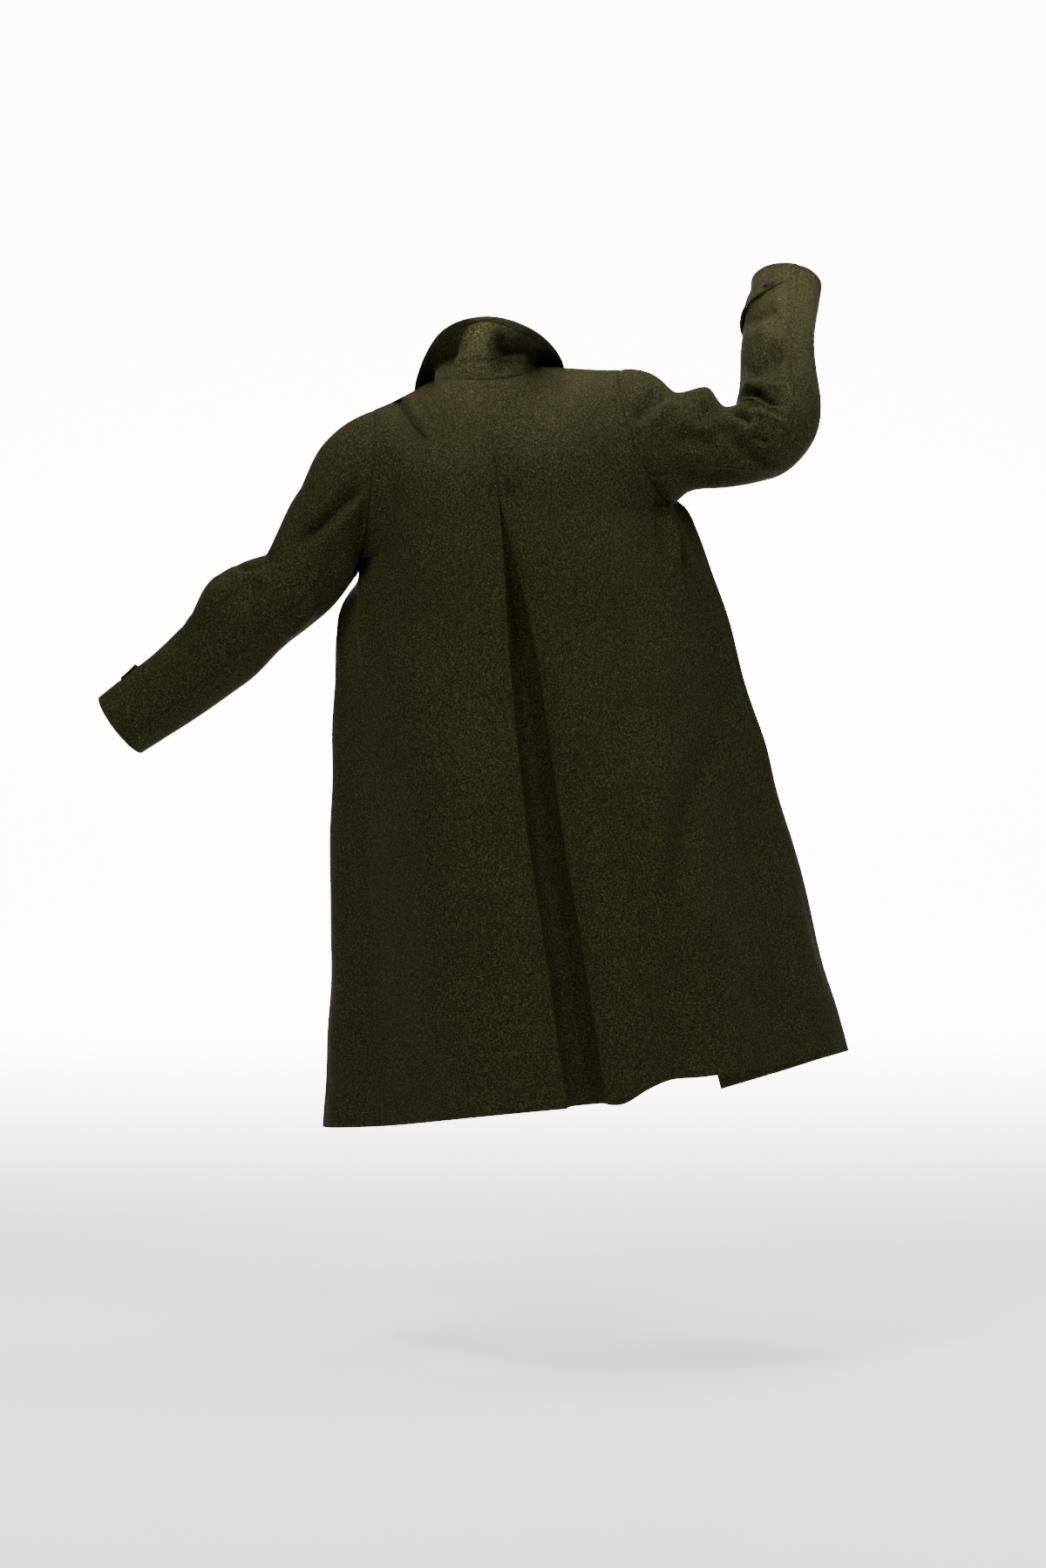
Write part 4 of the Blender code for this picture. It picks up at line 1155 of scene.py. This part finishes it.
class Socket:
    """A shader value that takes part in sums and feeds other nodes."""

    def __init__(self, tree, output):
        self.tree = tree
        self.output = output

    def node(self, kind, settings=None, inputs=None, output=0):
        """Any node: its type, its settings first, then its sockets' values or links."""
        made = self.tree.nodes.new(kind)
        for key, value in (settings or {}).items():
            setattr(made, key, value)
        for key, value in (inputs or {}).items():
            if isinstance(value, Socket):
                self.tree.links.new(value.output, made.inputs[key])
            else:
                made.inputs[key].default_value = value
        return Socket(self.tree, made.outputs[output])

    def joined(self, operation, other, swapped=False):
        pair = (other, self) if swapped else (self, other)
        return self.node("ShaderNodeMath", {"operation": operation}, dict(enumerate(pair)))

    def __add__(self, other):
        return self.joined("ADD", other)

    def __radd__(self, other):
        return self.joined("ADD", other, True)

    def __sub__(self, other):
        return self.joined("SUBTRACT", other)

    def __rsub__(self, other):
        return self.joined("SUBTRACT", other, True)

    def __mul__(self, other):
        return self.joined("MULTIPLY", other)

    def __rmul__(self, other):
        return self.joined("MULTIPLY", other, True)

    def between(self, low, high):
        """A soft step: 0 below low, 1 above high."""
        return self.node("ShaderNodeMapRange", {"interpolation_type": "SMOOTHSTEP"},
                         {"Value": self, "From Min": low, "From Max": high})

    def noise(self, scale, detail=2.0, roughness=0.5):
        """Cloudy noise at these coordinates."""
        return self.node("ShaderNodeTexNoise", {"noise_dimensions": "3D"},
                         {"Vector": self, "Scale": scale, "Detail": detail, "Roughness": roughness})

    def moved(self, place, scale=(1, 1, 1)):
        """These coordinates moved and stretched."""
        return self.node("ShaderNodeMapping", {"vector_type": "POINT"},
                         {"Vector": self, "Location": place, "Scale": scale})

    def mix(self, first, second):
        """A colour between two, this value being the share of the second."""
        return self.node("ShaderNodeMix", {"data_type": "RGBA"}, {0: self, 6: first, 7: second}, 2)


def new_material(name):
    """A material with its Principled shader and its Object coordinates."""
    made = bpy.data.materials.new(name)
    made.use_nodes = True
    shader = made.node_tree.nodes["Principled BSDF"]
    coords = made.node_tree.nodes.new("ShaderNodeTexCoord")
    return made, shader, Socket(made.node_tree, coords.outputs["Object"])


def feed(shader, name, value):
    """Links a worked-out value to one of a shader's sockets."""
    value.tree.links.new(value.output, shader.inputs[name])


def wool(name, shade=1.0):
    """Felted melange wool: fine dark, yellow and brown fibres over olive, a short nap and a soft sheen. A
    shade below 1 makes a darker copy, painted shade.
    """
    made, shader, place = new_material(name)
    layers = {key: place.moved(move).noise(*size) for key, (move, *size) in FIBRES.items()}
    base = layers["fine"].between(*FINE_RANGE).mix(tone(WOOL_DARK, shade), tone(WOOL_MID, shade))
    for key, low, high, share, colour in MELANGE:
        base = (layers[key].between(low, high) * share).mix(base, tone(colour, shade))
    feed(shader, "Base Color", base)
    nap = sum(layers[key] * share for key, share in NAP_SHARES.items())
    feed(shader, "Normal", nap.node("ShaderNodeBump", None,
                                    {"Height": nap, "Strength": NAP_STRENGTH, "Distance": NAP_DEPTH}))
    shader.inputs["Roughness"].default_value = WOOL_ROUGHNESS
    shader.inputs["Specular IOR Level"].default_value = WOOL_SPECULAR
    shader.inputs["Sheen Weight"].default_value = SHEEN_WEIGHT
    shader.inputs["Sheen Roughness"].default_value = SHEEN_ROUGHNESS
    shader.inputs["Sheen Tint"].default_value = (*SHEEN_TINT, 1.0)
    return made


def tone(colour, shade):
    """A colour, lighter or darker."""
    return (*(shade * part for part in colour), 1.0)


def thread(name):
    """Sewing thread: the wool's tone, a little darker and smoother, with a fine twist."""
    made, shader, place = new_material(name)
    twist = place.noise(THREAD_SCALE, 1.0, 0.5)
    dark, light = tone(WOOL_DARK, THREAD_TONES[0]), tone(WOOL_MID, THREAD_TONES[1])
    feed(shader, "Base Color", twist.between(*THREAD_RANGE).mix(dark, light))
    feed(shader, "Roughness", 0.85 + twist * 0.15)
    shader.inputs["Specular IOR Level"].default_value = THREAD_SPECULAR
    return made


def leather(name):
    """Dark brown polished leather: worn lighter in places, with a fine grain and a clear coat."""
    made, shader, place = new_material(name)
    worn = place.noise(LEATHER_SCALE, 3.0, 0.6)
    grain = place.moved(GRAIN_MOVE).noise(LEATHER_GRAIN, 2.0, 0.6)
    dark, light = tone(LEATHER_DARK, 1.0), tone(LEATHER_WORN, 1.0)
    feed(shader, "Base Color", worn.between(*LEATHER_RANGE).mix(dark, light))
    feed(shader, "Roughness", 0.20 + grain * 0.2)
    feed(shader, "Normal", grain.node("ShaderNodeBump", None,
                                      {"Height": grain, "Strength": GRAIN_STRENGTH, "Distance": GRAIN_DEPTH}))
    shader.inputs["Specular IOR Level"].default_value = LEATHER_SPECULAR
    shader.inputs["Coat Weight"].default_value = LEATHER_COAT
    shader.inputs["Coat Roughness"].default_value = LEATHER_COAT_ROUGHNESS
    return made


def build_cloth():
    """Every cut piece, each in place of its solid."""
    made = wool("wool")
    for side in ("left", "right"):
        dress("back_" + side, back_points(side), made)
        dress("front_" + side, front_points(side), made)
        for piece in ("top", "under"):
            points = sleeve_points(side, piece)
            dress(f"sleeve_{side}_{piece}", points, made)
        dress("cuff_tab_" + side, tab_points(side), made, TAB_WALL)
    # A darker copy of the wool on the underlay: painted shade in the pleat's depth
    inside = wool("wool_painted_shade", UNDERLAY_PAINTED_SHADE)
    dress("pleat_underlay", underlay_points(), inside)
    dress("collar_stand", stand_points(), made)
    dress("collar_fall", fall_points(), made)


def build_sewing():
    """The rows of stitches that show."""
    made = thread("thread")
    stitches("stitch_collar", collar_lines(), made)
    stitches("stitch_tack", tack_lines(), made)
    for side in ("left", "right"):
        stitches("stitch_tab_" + side, tab_lines(side), made)


def build_buttons():
    """The cuff buttons on their tabs, and the front buttons a short way in from the left front's edge."""
    made = leather("button_leather")
    for side in ("left", "right"):
        points = tab_points(side)
        row, column = points.shape[0] // 2, round(TAB_BUTTON_SHARE * (points.shape[1] - 1))
        out = unit(points[row, column] - tab_middle(side))
        ahead = points[row, column + 2] - points[row, column - 2]
        up = points[row + 2, column] - points[row - 2, column]
        facing = unit(np.cross(ahead, up))
        facing = facing * np.sign(np.dot(facing, out))
        on = points[row, column] + facing * TAB_WALL / 2
        knot_button("button_cuff_" + side, "cuff_button_" + side, on, facing, CUFF_BUTTON_RADIUS, made)
    for number, station in enumerate(FRONT_BUTTON_STATIONS, start=1):
        level = np.array([station])
        across = BUTTON_FROM_EDGE / row_length("left", "front", level)
        on = panel("left", "front", across, level)[0]
        facing = unit(panel_moved("left", "front", across, level, np.array([1.0]))[0] - on)
        knot_button(f"button_front_{number}", f"front_button_{number}", on + facing * WALL / 2, facing,
                    FRONT_BUTTON_RADIUS, made)


def stage_finish(name, colour, roughness):
    """A stage finish: one pale tone with a trace of unevenness, lit up towards the back."""
    made, shader, place = new_material(name)
    feed(shader, "Base Color", place.noise(0.7).mix(tone(colour, 0.985), tone(colour, 1.0)))
    across, away, up = (place.node("ShaderNodeSeparateXYZ", None, {0: place}, axis) for axis in range(3))
    side = (across * across).between(GLOW_SIDES[0] ** 2, GLOW_SIDES[1] ** 2)
    behind = away.between(GLOW_FROM, STAGE_FAR) * (1 - side) * (1 - up.between(*GLOW_TOP))
    feed(shader, "Emission Color", behind.mix(tone(colour, GLOW_FLOOR), tone(colour, 1.0)))
    shader.inputs["Emission Strength"].default_value = GLOW_STRENGTH
    shader.inputs["Roughness"].default_value = roughness
    return made


def build_stage():
    """A pale floor that curves up to a backdrop, soft studio lights, and the camera at the photo's angle."""
    turn = np.linspace(0, math.pi / 2, 17)
    depth = np.concatenate([[-STAGE_NEAR], STAGE_FAR + STAGE_CURVE * np.sin(turn), [STAGE_FAR + STAGE_CURVE]])
    height = np.concatenate([[0], STAGE_CURVE * (1 - np.cos(turn)), [STAGE_HIGH]])
    across = np.array([-STAGE_HALF, STAGE_HALF])[None, :]
    points = np.stack(np.broadcast_arrays(across, depth[:, None], FLOOR + height[:, None]), axis=-1)
    floor = grid_object("floor", points)
    floor.data.materials.append(stage_finish("floor", STAGE_COLOUR, STAGE_ROUGHNESS))
    for name, place, aim, size, power, spread in LIGHTS:
        lamp = bpy.data.lights.new(name, "AREA")
        lamp.shape = "DISK"
        lamp.size = size
        lamp.energy = power
        lamp.spread = math.radians(spread)
        made = bpy.data.objects.new(name, lamp)
        made.location = place
        made.rotation_euler = (Vector(aim) - Vector(place)).to_track_quat("-Z", "Y").to_euler()
        bpy.context.scene.collection.objects.link(made)
    world = bpy.data.worlds.new("studio")
    world.use_nodes = True
    world.node_tree.nodes["Background"].inputs["Color"].default_value = (*WORLD_COLOUR, 1.0)
    world.node_tree.nodes["Background"].inputs["Strength"].default_value = WORLD_STRENGTH
    bpy.context.scene.world = world
    lens = bpy.data.cameras.new("camera")
    lens.lens = LENS
    lens.sensor_width = SENSOR
    camera = bpy.data.objects.new("camera", lens)
    camera.location = CAMERA
    camera.rotation_euler = (math.pi / 2, 0, 0)
    bpy.context.scene.collection.objects.link(camera)
    bpy.context.scene.camera = camera


build_cloth()
build_sewing()
build_buttons()
build_stage()
